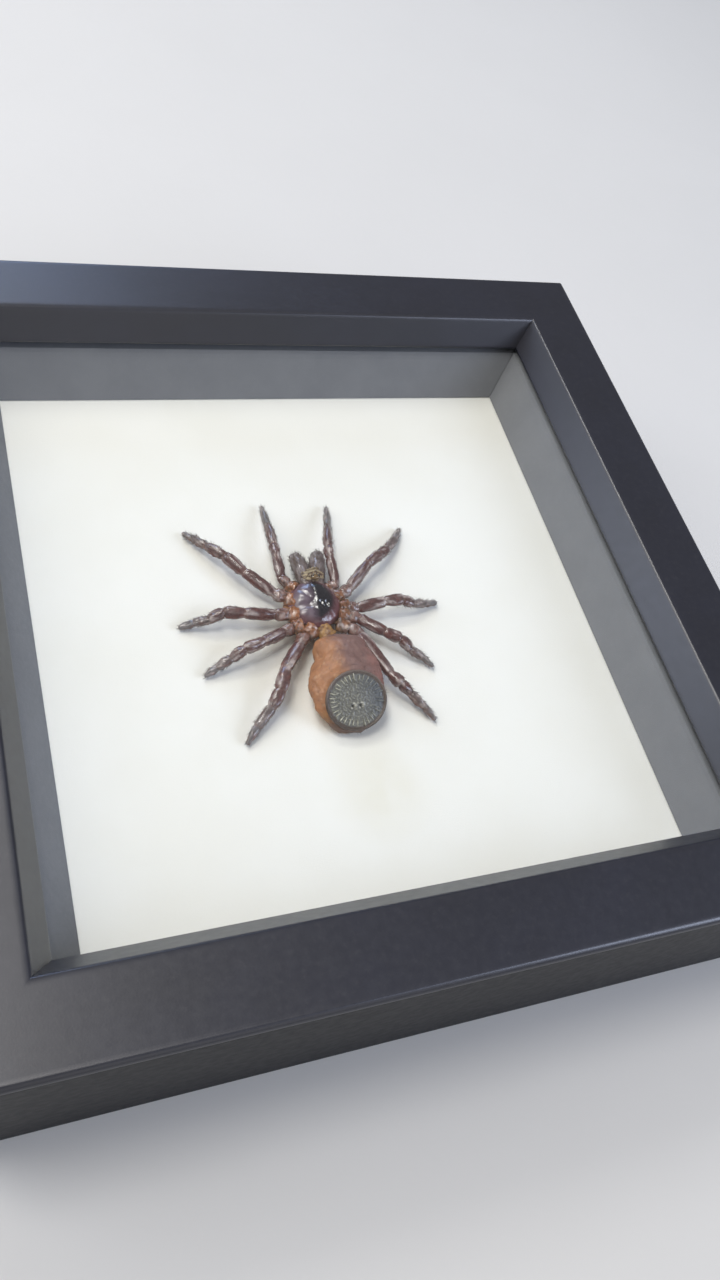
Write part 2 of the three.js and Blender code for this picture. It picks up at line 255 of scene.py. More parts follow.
def dust_effect() -> bpy.types.NodeTree:
    """Pale dust that lies thinly on faces that look up.

    Returns:
        A group with inputs Colour, Amount and Pitch (metres) and outputs Colour and Mask.
    """
    inputs = {"Colour": Socket.COLOUR, "Amount": Socket.NUMBER, "Pitch": Socket.NUMBER}
    outputs = {"Colour": Socket.COLOUR, "Mask": Socket.NUMBER}
    graph = Group("settled_dust", "ShaderNodeTree", inputs, outputs)
    given = graph.given
    normal = graph.add("ShaderNodeNewGeometry").outputs["Normal"]
    facing = graph.span(graph.add("ShaderNodeSeparateXYZ", {0: normal}).outputs["Z"], 0.3, 1.0, 0.0, 1.0)
    speck = graph.span(graph.patches(graph.place(), given["Pitch"], 6.0, 0.7), 0.52, 0.74, 0.15, 1.0)
    mask = graph.math("MULTIPLY", graph.math("MULTIPLY", speck, facing), given["Amount"])
    return graph.give(Colour=graph.mix(mask, given["Colour"], opaque(shade(DUST_TONE))), Mask=mask)


class Effects:
    """The effects that several materials share, each made once."""

    made: dict[str, bpy.types.NodeTree] = {}

    @classmethod
    def get(cls, maker: Callable[[], bpy.types.NodeTree]) -> bpy.types.NodeTree:
        """Returns the maker's effect, made the first time it is asked for."""
        if maker.__name__ not in cls.made:
            cls.made[maker.__name__] = maker()
        return cls.made[maker.__name__]


# Finishes


@dataclass(frozen=True)
class Finish:
    """A surface with two mottled tones, fine grain and a little dust.

    Lengths are in millimetres.
    """

    name: str
    tone: str
    under: str
    patch: float = 6.0
    mottled: float = 0.6
    rough: tuple[float, float] = (0.4, 0.5)
    pitch: float = 0.5
    relief: float = 0.01
    stretch: Point = (1.0, 1.0, 1.0)
    metallic: float = 0.0
    specular: float = 0.5
    coat: float = 0.0
    coat_rough: float = 0.12
    sheen: float = 0.0
    dust: float = 0.0

    def mottle(self, graph: Graph, first: Any, second: Any) -> bpy.types.NodeSocket:
        """A first tone with this finish's patches of a second."""
        sockets = {"Tone": first, "Shade": second, "Pitch": self.patch * MM, "Amount": self.mottled}
        return graph.group(Effects.get(mottle_effect), sockets).outputs["Colour"]

    def colour(self, graph: Graph) -> bpy.types.NodeSocket:
        """The base colour before dust."""
        return self.mottle(graph, opaque(shade(self.tone)), opaque(shade(self.under)))

    def grain(self, graph: Graph, low: float, high: float, pitch: float) -> bpy.types.NodeSocket:
        """Fine grain between two values at a pitch in millimetres."""
        sockets = {"Pitch": pitch * MM, "Stretch": self.stretch, "Low": low, "High": high}
        return graph.group(Effects.get(grain_effect), sockets).outputs["Value"]

    def roughness(self, graph: Graph) -> bpy.types.NodeSocket:
        """The roughness before dust."""
        return self.grain(graph, self.rough[0], self.rough[1], self.pitch * 4)

    def height(self, graph: Graph) -> bpy.types.NodeSocket:
        """The relief, from 0 to 1."""
        return self.grain(graph, 0.0, 1.0, self.pitch)

    def surface(self, graph: Graph) -> bpy.types.NodeSocket:
        """The finish's shader, in a material's tree."""
        colour, rough = self.colour(graph), self.roughness(graph)
        if self.dust:
            sockets = {"Colour": colour, "Amount": self.dust, "Pitch": DUST_PITCH * MM}
            colour, mask = graph.group(Effects.get(dust_effect), sockets).outputs
            duller = {0: mask, 1: DUST_DULLS, 2: rough}
            rough = graph.add("ShaderNodeMath", duller, operation="MULTIPLY_ADD").outputs[0]
        bump = {"Height": self.height(graph), "Distance": self.relief * MM, "Strength": 1.0}
        sockets = {
            "Base Color": colour,
            "Roughness": rough,
            "Metallic": self.metallic,
            "Specular IOR Level": self.specular,
            "Coat Weight": self.coat,
            "Coat Roughness": self.coat_rough,
            "Sheen Weight": self.sheen,
            "Sheen Roughness": 0.4,
            "Normal": graph.add("ShaderNodeBump", bump).outputs[0],
        }
        return graph.add("ShaderNodeBsdfPrincipled", sockets).outputs[0]


@dataclass(frozen=True)
class Cuticle(Finish):
    """Body surface of the spider. Each point's tint and gloss come with the mesh."""

    wrinkle: float = 0.9

    def colour(self, graph: Graph) -> bpy.types.NodeSocket:
        """The mesh's own tint, mottled with the darker tone."""
        tint = graph.add("ShaderNodeAttribute", attribute_name="tint").outputs["Color"]
        deep = graph.mix(0.55, tint, opaque(shade(self.under)))
        return self.mottle(graph, tint, deep)

    def roughness(self, graph: Graph) -> bpy.types.NodeSocket:
        """The mesh's own roughness with a little grain."""
        own = graph.add("ShaderNodeAttribute", attribute_name="dull").outputs["Fac"]
        return graph.math("ADD", own, self.grain(graph, self.rough[0], self.rough[1], self.pitch * 4))

    def height(self, graph: Graph) -> bpy.types.NodeSocket:
        """Fine grain over coarser dried wrinkles."""
        fine = self.grain(graph, 0.0, 0.35, self.pitch)
        return graph.math("ADD", fine, self.grain(graph, 0.0, 0.65, self.pitch * 5 * self.wrinkle))


@dataclass(frozen=True)
class WarmPatchPaper(Finish):
    """Paper with one faint darker, warmer patch. The patch's place and reach are in millimetres."""

    warm_patch: str = "e2dccb"
    warm_patch_at: Point = (-1.0, -38.5, 22.5)
    warm_patch_reach: float = 11.0

    def colour(self, graph: Graph) -> bpy.types.NodeSocket:
        """The mottled paper with the warm patch over it."""
        middle = tuple(value * MM for value in self.warm_patch_at)
        sockets = {0: graph.place(), 1: middle}
        away = graph.add("ShaderNodeVectorMath", sockets, operation="DISTANCE").outputs["Value"]
        near = graph.span(away, 0.0, self.warm_patch_reach * MM, 0.75, 0.0)
        patchy = graph.math("MULTIPLY", near, self.grain(graph, 0.5, 1.0, 5.0))
        return graph.mix(patchy, super().colour(graph), opaque(shade(self.warm_patch)))


@dataclass(frozen=True)
class Pane:
    """Clear glass that lets the lamps through to what lies behind it."""

    name: str
    tone: str = "fefffe"
    smear: float = 14.0

    def surface(self, graph: Graph) -> bpy.types.NodeSocket:
        """The glass's shader, in a material's tree."""
        sockets = {"Pitch": self.smear * MM, "Stretch": (1.0, 1.0, 1.0), "Low": 0.0, "High": 0.03}
        sockets = {
            "Base Color": opaque(shade(self.tone)),
            "Roughness": graph.group(Effects.get(grain_effect), sockets).outputs["Value"],
            "IOR": 1.45,
            "Transmission Weight": 1.0,
        }
        glass = graph.add("ShaderNodeBsdfPrincipled", sockets)
        clear = graph.add("ShaderNodeBsdfTransparent", {"Color": opaque(shade(self.tone))})
        path = graph.add("ShaderNodeLightPath").outputs
        seen = graph.math("MAXIMUM", path["Is Camera Ray"], path["Is Transmission Ray"])
        shaders = {0: seen, 1: clear.outputs[0], 2: glass.outputs[0]}
        return graph.add("ShaderNodeMixShader", shaders).outputs[0]


class Finishes:
    """Every finish on the object, by what it is on."""

    frame = Finish(
        "satin_black_paint", "1c1d29", "14141d", 20, 0.6, (0.36, 0.4), 0.35, 0.002, specular=1.0, dust=0.015
    )
    # Painted shade: a darker, duller copy of the satin black paint for the frame's outer sides.
    frame_shaded_side = Finish(
        "shaded_side_black_paint", "17171b", "101014", 20, 0.6, (0.55, 0.62), 0.35, 0.004, specular=0.3
    )
    glass = Pane("clear_pane")
    liner = Finish("grey_liner_card", "7b7c80", "707176", 8, 0.5, (0.55, 0.7), 0.22, 0.01, specular=0.3)
    mat = WarmPatchPaper("white_mat_paper", "f2f0eb", "ebe8e0", 26, 0.5, (0.8, 0.95), 0.3, 0.012, specular=0.2)
    backing = Finish("brown_hardboard", "80603f", "5d432b", 3, 0.8, (0.75, 0.9), 0.3, 0.03, specular=0.25)
    steel = Finish(
        "brushed_steel_strip", "b4b4b8", "8d8d92", 4, 0.5, (0.28, 0.42), 0.25, 0.004, (1, 0.08, 1),
        metallic=1.0,
    )
    brass = Finish("worn_brass_plate", "c09a4c", "8a6a30", 5, 0.6, (0.25, 0.45), 0.3, 0.006, metallic=1.0)
    cuticle = Cuticle("glossy_cuticle", "6b4a47", "22120f", 0.9, 0.6, (-0.06, 0.12), 0.12, 0.03, coat=0.6)
    polished = Cuticle(
        "polished_carapace", "221c22", "120c10", 0.9, 0.5, (-0.05, 0.08), 0.12, 0.012,
        coat=1.0, coat_rough=0.09,
    )
    hide = Cuticle("dried_leathery_hide", "a87850", "5a3a30", 1.4, 0.6, (-0.08, 0.14), 0.16, 0.06)
    plate = Cuticle("horny_disc", "6d6c60", "2c2a26", 0.5, 0.6, (-0.08, 0.12), 0.14, 0.05, coat=0.2)
    bristle = Finish("dark_bristles", "54463f", "2e2624", 0.7, 0.7, (0.4, 0.6), 0.1, 0.002, sheen=0.2)
    glue = Finish("amber_glue", "d9c998", "c4ae72", 1.5, 0.5, (0.12, 0.3), 0.5, 0.03, coat=0.4)
    floor = Finish("pale_floor", "d6d5d2", "d0cfcc", 160, 0.5, (0.75, 0.9), 3.0, 0.02, specular=0.3)
    ready: dict[str, bpy.types.Material] = {}

    @classmethod
    def get(cls, finish: Finish | Pane) -> bpy.types.Material:
        """Returns the finish's material, built the first time it is asked for."""
        if finish.name not in cls.ready:
            material = bpy.data.materials.new(finish.name)
            material.use_nodes = True
            material.node_tree.nodes.clear()
            graph = Graph(material.node_tree)
            graph.add("ShaderNodeOutputMaterial", {"Surface": finish.surface(graph)})
            cls.ready[finish.name] = material
        return cls.ready[finish.name]


# Meshes


def to_object(name: str, mesh: bpy.types.Mesh) -> bpy.types.Object:
    """Puts a mesh in the scene as an object at the origin."""
    thing = bpy.data.objects.new(name, mesh)
    bpy.context.scene.collection.objects.link(thing)
    return thing


def smooth(mesh: bpy.types.Mesh, angle: float) -> None:
    """Shades a mesh smooth, with sharp edges above an angle in degrees."""
    mesh.shade_smooth()
    mesh.set_sharp_from_angle(angle=math.radians(angle))


def tone(code: str) -> np.ndarray:
    """A hex colour as an array of linear light."""
    return np.array(shade(code))


def blend(first: Any, second: Any, share: Any) -> Any:
    """Between two colours or arrays of them, by the second's share."""
    return first * (1 - share) + second * share


def unit(values: Any) -> Any:
    """Values kept from 0 to 1."""
    return np.clip(values, 0, 1)


def bell(away: Any, width: float) -> Any:
    """1 at no distance, falling off over a width."""
    return np.exp(-((away / width) ** 2))


def around(sides: int) -> np.ndarray:
    """The angles of the points of a ring."""
    return np.linspace(0, 2 * math.pi, sides, endpoint=False)


@dataclass
class Shell:
    """A closed skin over rings of points, with what its finish reads at each point.

    Rings are an array of (ring, place on the ring, xyz) in millimetres. Tints are linear colours,
    dull is roughness, fur the share of full hair, and along the way that hair lies.
    """

    rings: np.ndarray
    tint: np.ndarray
    dull: np.ndarray
    fur: np.ndarray
    along: np.ndarray

    @classmethod
    def plain(cls, rings: np.ndarray, tint: Colour, dull: float = 0.4, fur: float = 0.0) -> "Shell":
        """A shell with the same values all over.

        Args:
            rings: the rings of points.
            tint: the colour.
            dull: the roughness.
            fur: the share of full hair.

        Returns:
            The shell, with hair lying from its first ring to its last.
        """
        flow = np.gradient(rings.mean(1), axis=0)
        count = rings.shape[:2]
        return cls(
            rings,
            np.broadcast_to(np.array(tint), (*count, 3)).copy(),
            np.full(count, dull),
            np.full(count, fur),
            np.broadcast_to(flow[:, None, :], (*count, 3)).copy(),
        )

    def shape(self) -> tuple[np.ndarray, list[tuple[int, ...]]]:
        """The shell's points and faces.

        Returns:
            Points in millimetres, the two end middles last, and faces that look outwards.
        """
        count, sides = self.rings.shape[:2]
        ends = np.stack([self.rings[0].mean(0), self.rings[-1].mean(0)])
        points = np.concatenate([self.rings.reshape(-1, 3), ends])
        faces: list[tuple[int, ...]] = []
        tail = (count - 1) * sides
        for j in range(sides):
            k = (j + 1) % sides
            faces += [(i + j, i + k, i + sides + k, i + sides + j) for i in range(0, tail, sides)]
            faces += [(len(points) - 2, k, j), (len(points) - 1, tail + j, tail + k)]
        return points, faces

    def spread(self, values: np.ndarray) -> np.ndarray:
        """Ring values in the order of the points, with the ends' means."""
        flat = values.reshape(-1, *values.shape[2:])
        return np.concatenate([flat, values[0].mean(0)[None], values[-1].mean(0)[None]])


def skin(name: str, shells: Sequence[Shell], place: Point, unit: float = MM) -> bpy.types.Object:
    """Makes one object of several shells.

    Args:
        name: the object's name.
        shells: the closed shells.
        place: where their zero is, in their own unit.
        unit: the shells' unit, in metres.

    Returns:
        The object, with tint, dull, fur and along on its points.
    """
    points: list[np.ndarray] = []
    faces: list[tuple[int, ...]] = []
    start = 0
    for shell in shells:
        own, cells = shell.shape()
        points.append(own)
        faces += [tuple(i + start for i in cell) for cell in cells]
        start += len(own)
    mesh = bpy.data.meshes.new(name)
    mesh.from_pydata(((np.concatenate(points) + np.array(place)) * unit).tolist(), [], faces)
    kinds = {"tint": ("FLOAT_COLOR", "color"), "dull": ("FLOAT", "value")}
    kinds |= {"fur": ("FLOAT", "value"), "along": ("FLOAT_VECTOR", "vector")}
    for label, (kind, key) in kinds.items():
        values = np.concatenate([shell.spread(getattr(shell, label)) for shell in shells])
        if label == "tint":
            values = np.concatenate([values, np.ones((len(values), 1))], 1)
        mesh.attributes.new(label, kind, "POINT").data.foreach_set(key, values.ravel().astype(np.float32))
    made = bmesh.new()
    made.from_mesh(mesh)
    turned_out(made, mesh)
    smooth(mesh, 70)
    return to_object(name, mesh)


def turned_out(made: bmesh.types.BMesh, mesh: bpy.types.Mesh) -> None:
    """Turns every face outwards, writes the shape to a mesh and frees it."""
    bmesh.ops.recalc_face_normals(made, faces=made.faces)
    made.to_mesh(mesh)
    made.free()


def cloud(rings: np.ndarray, pitch: float, seed: float) -> np.ndarray:
    """Noise at each point, from about -1 to 1.

    Args:
        rings: the rings of points.
        pitch: the size of the patches, in millimetres.
        seed: moves the pattern.

    Returns:
        One value a point.
    """
    flat = rings.reshape(-1, 3) / pitch + seed
    return np.array([noise.noise(Vector(p)) for p in flat]).reshape(rings.shape[:2])


def roughened(rings: np.ndarray, depth: float | np.ndarray, pitch: float, seed: float) -> np.ndarray:
    """Moves each point along its way out from its ring's middle, by noise.

    Args:
        rings: the rings of points.
        depth: the most that a point moves, in millimetres, for all points or for each ring.
        pitch: the size of the dents, in millimetres.
        seed: moves the pattern.

    Returns:
        The moved rings.
    """
    out = rings - rings.mean(1, keepdims=True)
    out /= np.linalg.norm(out, axis=2, keepdims=True) + 1e-9
    return rings + out * (cloud(rings, pitch, seed) * depth)[..., None]


def tube(path: Sequence[Point], radii: Sequence[float], sides: int = 16, flat: float = 1.0) -> np.ndarray:
    """Rings square to a path.

    Args:
        path: the points of the middle line.
        radii: the radius at each.
        sides: how many points a ring has.
        flat: the height of a ring against its width.

    Returns:
        The rings.
    """
    middle = np.array(path, float)
    along = np.gradient(middle, axis=0)
    along /= np.linalg.norm(along, axis=1, keepdims=True)
    across = np.cross((0.0, 0.0, 1.0), along)
    across /= np.linalg.norm(across, axis=1, keepdims=True)
    up = np.cross(along, across)
    turn = around(sides)
    ring = np.cos(turn)[None, :, None] * across[:, None] + flat * np.sin(turn)[None, :, None] * up[:, None]
    return middle[:, None] + np.array(radii)[:, None, None] * ring


def globe(rows: int, sides: int, cap: float) -> tuple[np.ndarray, np.ndarray, np.ndarray, np.ndarray]:
    """Rings round a ball of radius 1.

    Args:
        rows: how many rings.
        sides: how many points a ring has.
        cap: the angle left open at each end, in radians.

    Returns:
        The angle from the top of each ring, and x, y and z at each point.
    """
    fall = np.linspace(cap, math.pi - cap, rows)[:, None]
    turn = around(sides)[None, :]
    x, y = np.sin(fall) * np.cos(turn), np.sin(fall) * np.sin(turn)
    return fall, x, y, np.broadcast_to(np.cos(fall), x.shape)


def curve_through(points: Sequence[Sequence[float]], count: int) -> np.ndarray:
    """A smooth run of rows through given rows.

    Args:
        points: the given rows, of any width.
        count: how many rows to return.

    Returns:
        Rows spaced evenly by number along a Catmull-Rom curve.
    """
    rows = np.array(points, float)
    padded = np.vstack([2 * rows[0] - rows[1], rows, 2 * rows[-1] - rows[-2]])
    at = np.linspace(0, len(rows) - 1, count)
    first = np.minimum(at.astype(int), len(rows) - 2)
    t = (at - first)[:, None]
    a, b, c, d = (padded[first + i] for i in range(4))
    return 0.5 * (2 * b + (c - a) * t + (2 * a - 5 * b + 4 * c - d) * t**2 + (3 * b - a - 3 * c + d) * t**3)


def bent_tube(rows: Sequence[Sequence[float]], count: int, sides: int, flat: float = 1.0) -> np.ndarray:
    """Rings along a smooth curve.

    Args:
        rows: x, y, z and radius at the curve's given points.
        count: how many rings.
        sides: how many points a ring has.
        flat: the height of a ring against its width.

    Returns:
        The rings.
    """
    run = curve_through(rows, count)
    return tube(run[:, :3], run[:, 3], sides, flat)


def with_nodes(
    piece: bpy.types.Object, tree: bpy.types.NodeTree, values: dict[str, Any], name: str
) -> bpy.types.Object:
    """Runs a geometry tree on an object and keeps the result as a plain mesh.

    Args:
        piece: the object that the tree starts from.
        tree: the tree.
        values: the tree's inputs by name.
        name: the new object's name.

    Returns:
        A new object. The modifier is taken off the first one.
    """
    modifier = piece.modifiers.new(tree.name, "NODES")
    modifier.node_group = tree
    for item in tree.interface.items_tree:
        if item.item_type == "SOCKET" and item.in_out == "INPUT" and item.name in values:
            modifier[item.identifier] = values[item.name]
    bpy.context.view_layer.update()
    result = piece.evaluated_get(bpy.context.evaluated_depsgraph_get())
    mesh = bpy.data.meshes.new_from_object(result)
    mesh.name = name
    piece.modifiers.remove(modifier)
    return to_object(name, mesh)


def finished(piece: bpy.types.Object, finish: Finish | Pane, replaces: Sequence[str] = ()) -> None:
    """Gives a piece its material, body and slot, and hides the CAD nodes that it stands for.

    Args:
        piece: the object.
        finish: its finish.
        replaces: names of CAD nodes.
    """
    piece.data.materials.clear()
    piece.data.materials.append(Finishes.get(finish))
    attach(piece, BODY)
    if replaces:
        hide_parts(*replaces)
    log.info("%s: %d faces", piece.name, len(piece.data.polygons))


def dress_node(node: bpy.types.Object, finish: Finish | Pane) -> None:
    """Gives a CAD node a finish on each of its slots."""
    for slot in node.material_slots:
        slot.material = Finishes.get(finish)
    log.info("%s: CAD solid", node.name)


# The frame and what it holds


@dataclass
class ShadowBox:
    """The black moulding, its glass, grey liner and white mat."""

    outer: float = 76.5
    opening: float = 63.1
    sight: float = 59.8
    rabbet: float = 66.0
    depth: float = 39.5
    lip_depth: float = 6.4
    face_round: float = 1.2
    opening_round: float = 1.0
    nose: float = 0.45
    back_chamfer: float = 0.6
    corner_round: float = 0.9

    def profile(self) -> list[tuple[float, float]]:
        """The moulding's section as distance from the middle and height, counter-clockwise."""
        lean = math.atan2(self.opening - self.sight, self.lip_depth - self.nose)
        lip = self.depth - self.lip_depth
        below = self.opening_round / 2
        support = 0.35
        points = [(self.rabbet, 0.0), (self.outer - self.back_chamfer, 0.0), (self.outer, self.back_chamfer)]
        points.append((self.outer, self.depth - self.face_round - support))
        hub = (self.outer - self.face_round, self.depth - self.face_round)
        for turn in np.linspace(0, math.pi / 2, 8):
            points.append(
                (hub[0] + self.face_round * math.cos(turn), hub[1] + self.face_round * math.sin(turn))
            )
        points.append((hub[0] - support, self.depth))
        start = np.array([self.opening + self.opening_round, self.depth])
        bend = np.array([self.opening, self.depth])
        end = np.array([self.opening - math.tan(lean) * below, self.depth - below])
        points.append((start[0] + support, self.depth))
        for t in np.linspace(0, 1, 7):
            points.append(tuple((1 - t) ** 2 * start + 2 * t * (1 - t) * bend + t * t * end))
        slope = np.array([-math.sin(lean), -math.cos(lean)])
        points.append(tuple(end + slope * support))
        hub = (self.sight + self.nose, lip + self.nose)
        arc = [
            (hub[0] + self.nose * math.cos(turn), hub[1] + self.nose * math.sin(turn))
            for turn in np.linspace(math.pi - lean, 1.5 * math.pi, 8)
        ]
        points.append(tuple(np.array(arc[0]) - slope * support))
        points += arc
        points += [(hub[0] + support, lip), (self.rabbet, lip)]
        return points

    def moulding(self) -> bpy.types.Object:
        """The whole moulding as one painted ring with softly rounded outer corners."""
        hub = self.outer - self.corner_round
        rings = []
        for corner in range(4):
            for turn in np.linspace(-45, 45, 7):
                angle = math.radians(45 + 90 * corner + turn)
                ring = []
                for across, height in self.profile():
                    reach = max(0.0, across - hub)
                    base = min(across, hub)
                    mitre = math.radians(45 + 90 * corner)
                    x = base * math.sqrt(2) * math.cos(mitre) + reach * math.cos(angle)
                    y = base * math.sqrt(2) * math.sin(mitre) + reach * math.sin(angle)
                    ring.append((x * MM, y * MM, height * MM))
                rings.append(ring)
        size = len(rings[0])
        points = [p for ring in rings for p in ring]
        faces = []
        for i in range(len(rings)):
            for j in range(size):
                k = (i + 1) % len(rings) * size
                n = (j + 1) % size
                faces.append((i * size + j, k + j, k + n, i * size + n))
        mesh = bpy.data.meshes.new("frame_moulding")
        mesh.from_pydata(points, [], faces)
        made = bmesh.new()
        made.from_mesh(mesh)
        bmesh.ops.remove_doubles(made, verts=made.verts, dist=WELD)
        bmesh.ops.dissolve_degenerate(made, edges=made.edges, dist=WELD)
        turned_out(made, mesh)
        smooth(mesh, 35)
        return to_object("frame_moulding", mesh)

    def build(self, nodes: dict[str, bpy.types.Object]) -> None:
        """Makes the moulding and dresses the layers behind it.

        Args:
            nodes: the CAD nodes by name.
        """
        rails = [f"rail_{side}" for side in SIDES]
        ring = self.moulding()
        finished(ring, Finishes.frame, rails)
        # The outer sides take the darker copy of the paint as painted shade.
        ring.data.materials.append(Finishes.get(Finishes.frame_shaded_side))
        for face in ring.data.polygons:
            across = max(abs(face.center.x), abs(face.center.y))
            if abs(face.normal.z) < 0.3 and across > (self.outer - 0.4) * MM:
                face.material_index = 1
        for side in SIDES:
            dress_node(nodes[f"liner_{side}"], Finishes.liner)
        dress_node(nodes["mat_board"], Finishes.mat)
        dress_node(nodes["glass_pane"], Finishes.glass)


@dataclass
class BackFittings:
    """The backing board, the steel tabs that hold it, and the hanger."""

    tab_long: float = 14.0
    tab_wide: float = 5.0
    tab_thick: float = 0.6
    tab_level: float = 9.0
    tab_reach: float = 71.0
    tab_at: float = 35.0
    tab_bevel: float = 0.12

    def strip(self) -> bpy.types.Object:
        """One tab: a thin strip with a rounded end, bent up a little from the board."""
        half = self.tab_wide / 2
        outline = [(0.0, -half), (self.tab_long - half, -half)]
        for turn in np.linspace(-80, 80, 9):
            angle = math.radians(turn)
            outline.append((self.tab_long - half + half * math.cos(angle), half * math.sin(angle)))
        outline += [(self.tab_long - half, half), (0.0, half)]
        made = bmesh.new()
        verts = [made.verts.new((-x * MM, y * MM, -self.tab_thick * MM)) for x, y in outline]
        base = made.faces.new(verts)
        grown = bmesh.ops.extrude_face_region(made, geom=[base])
        moved = [v for v in grown["geom"] if isinstance(v, bmesh.types.BMVert)]
        bmesh.ops.translate(made, verts=moved, vec=(0, 0, self.tab_thick * MM))
        bmesh.ops.recalc_face_normals(made, faces=made.faces)
        edges = [e for e in made.edges if abs(e.calc_face_angle(0)) > 1.0]
        bmesh.ops.bevel(made, geom=edges, offset=self.tab_bevel * MM, segments=2, affect="EDGES", profile=0.5)
        mesh = bpy.data.meshes.new("tab_strip")
        made.to_mesh(mesh)
        made.free()
        smooth(mesh, 40)
        return to_object("tab_strip", mesh)

    def tabs_tree(self) -> bpy.types.NodeTree:
        """A tree that lays a strip on each point, turned by the point's own angle."""
        inputs = {"Points": Socket.SHAPE, "Strip": Socket.THING, "Metal": Socket.FINISH}
        graph = Group("tab_row", "GeometryNodeTree", inputs, {"Tabs": Socket.SHAPE})
        given = graph.given
        strip = graph.add("GeometryNodeObjectInfo", {"Object": given["Strip"]}).outputs["Geometry"]
        spin = graph.add("ShaderNodeCombineXYZ", {"Z": graph.named("turn", "FLOAT")}).outputs[0]
        return graph.give(Tabs=graph.lay(given["Points"], strip, spin, given["Metal"]))

    def tabs(self) -> bpy.types.Object:
        """All the tabs as one piece."""
        points, turns = [], []
        for i in range(4):
            turn = -i * math.pi / 2
            for along in (-self.tab_at, self.tab_at):
                place = Matrix.Rotation(turn, 3, "Z") @ Vector((along, self.tab_reach, self.tab_level))
                points.append(tuple(place * MM))
                turns.append(turn + math.pi / 2)
        mesh = bpy.data.meshes.new("tab_places")
        mesh.from_pydata(points, [], [])
        mesh.attributes.new("turn", "FLOAT", "POINT").data.foreach_set("value", turns)
        places = to_object("tab_places", mesh)
        strip = self.strip()
        values = {"Strip": strip, "Metal": Finishes.get(Finishes.steel)}
        piece = with_nodes(places, self.tabs_tree(), values, "backing_tabs")
        for spare in (places, strip):
            bpy.data.objects.remove(spare)
        smooth(piece.data, 40)
        return piece

    def build(self, nodes: dict[str, bpy.types.Object]) -> None:
        """Makes the tabs and dresses the rest of the back.

        Args:
            nodes: the CAD nodes by name.
        """
        names = [f"tab_{side}_{end}" for side in SIDES for end in "ab"]
        finished(self.tabs(), Finishes.steel, names)
        dress_node(nodes["backing_board"], Finishes.backing)
        for name in ("hanger", "tack_left", "tack_right"):
            dress_node(nodes[name], Finishes.brass)


# The spider


SPIDER_AT: Point = (-3.75, -1.1, 22.5)
COOL_TONE = "50555e"    # the disc's blue-grey side
SKIN_VALUES = ("dull", "fur", "dents", "lumps", "specks")    # what a limb's skin takes from its parts
COATED = (("legs", "leg"), ("chelicerae", "jaw"), ("abdomen", "abdomen"))    # pieces that bear bristles


@dataclass(frozen=True)
class Part:
    """One part of a limb: how it swells along its length, its tones above and below, and its skin."""

    swell: tuple[tuple[float, float], ...]
    above: str
    below: str
    dull: float
    fur: float
    dents: float = 0.18
    lumps: float = 0.1
    specks: float = 0.3


COXA = Part(((0, 1.0), (0.5, 1.08), (0.9, 1.0), (1, 0.82)), "8a5c42", "aa8058", 0.22, 0.1, 0.3, 0.36, 1.0)
TROCHANTER = Part(
    ((0, 0.84), (0.2, 1.02), (0.5, 1.12), (0.8, 1.02), (1, 0.82)),
    "8c6c64", "744634", 0.2, 0.1, 0.26, 0.28, 0.8,
)
FEMUR = Part(
    ((0, 0.8), (0.1, 0.96), (0.4, 1.08), (0.72, 1.02), (0.94, 0.92), (1, 0.78)),
    "644644", "6e3830", 0.17, 0.12,
)
PATELLA = Part(((0, 0.8), (0.12, 0.95), (0.5, 1.05), (0.85, 1.1), (1, 0.84)), "6c504e", "723c32", 0.15, 0.12)
TIBIA = Part(((0, 0.82), (0.12, 1.0), (0.42, 1.1), (0.8, 1.0), (1, 0.8)), "684e4c", "703e36", 0.17, 0.3)
METATARSUS = Part(((0, 0.8), (0.1, 0.97), (0.4, 1.0), (0.9, 0.86), (1, 0.74)), "7a6c6a", "784c40", 0.26, 0.7)
TARSUS = Part(
    ((0, 0.82), (0.1, 0.94), (0.5, 0.84), (0.8, 0.62), (0.93, 0.42), (1, 0.16)), "827c7c", "7c564a", 0.34, 0.9
)


@dataclass(frozen=True)
class LimbKind:
    """A kind of limb: its parts from the body out, joint heights and radii in millimetres."""

    parts: tuple[Part, ...]
    heights: tuple[float, ...]
    radii: tuple[float, ...]


LEG = LimbKind(
    (COXA, TROCHANTER, FEMUR, PATELLA, TIBIA, METATARSUS, TARSUS),
    (3.0, 2.8, 3.0, 3.7, 3.4, 2.4, 1.5, 0.8),
    (1.35, 1.15, 1.1, 1.1, 1.0, 0.9, 0.75),
)
PALP = LimbKind(
    (COXA, TROCHANTER, FEMUR, PATELLA, TIBIA, TARSUS),
    (3.0, 2.8, 3.0, 3.7, 3.4, 2.4, 0.8),
    (1.2, 1.0, 0.95, 0.95, 0.9, 0.75),
)


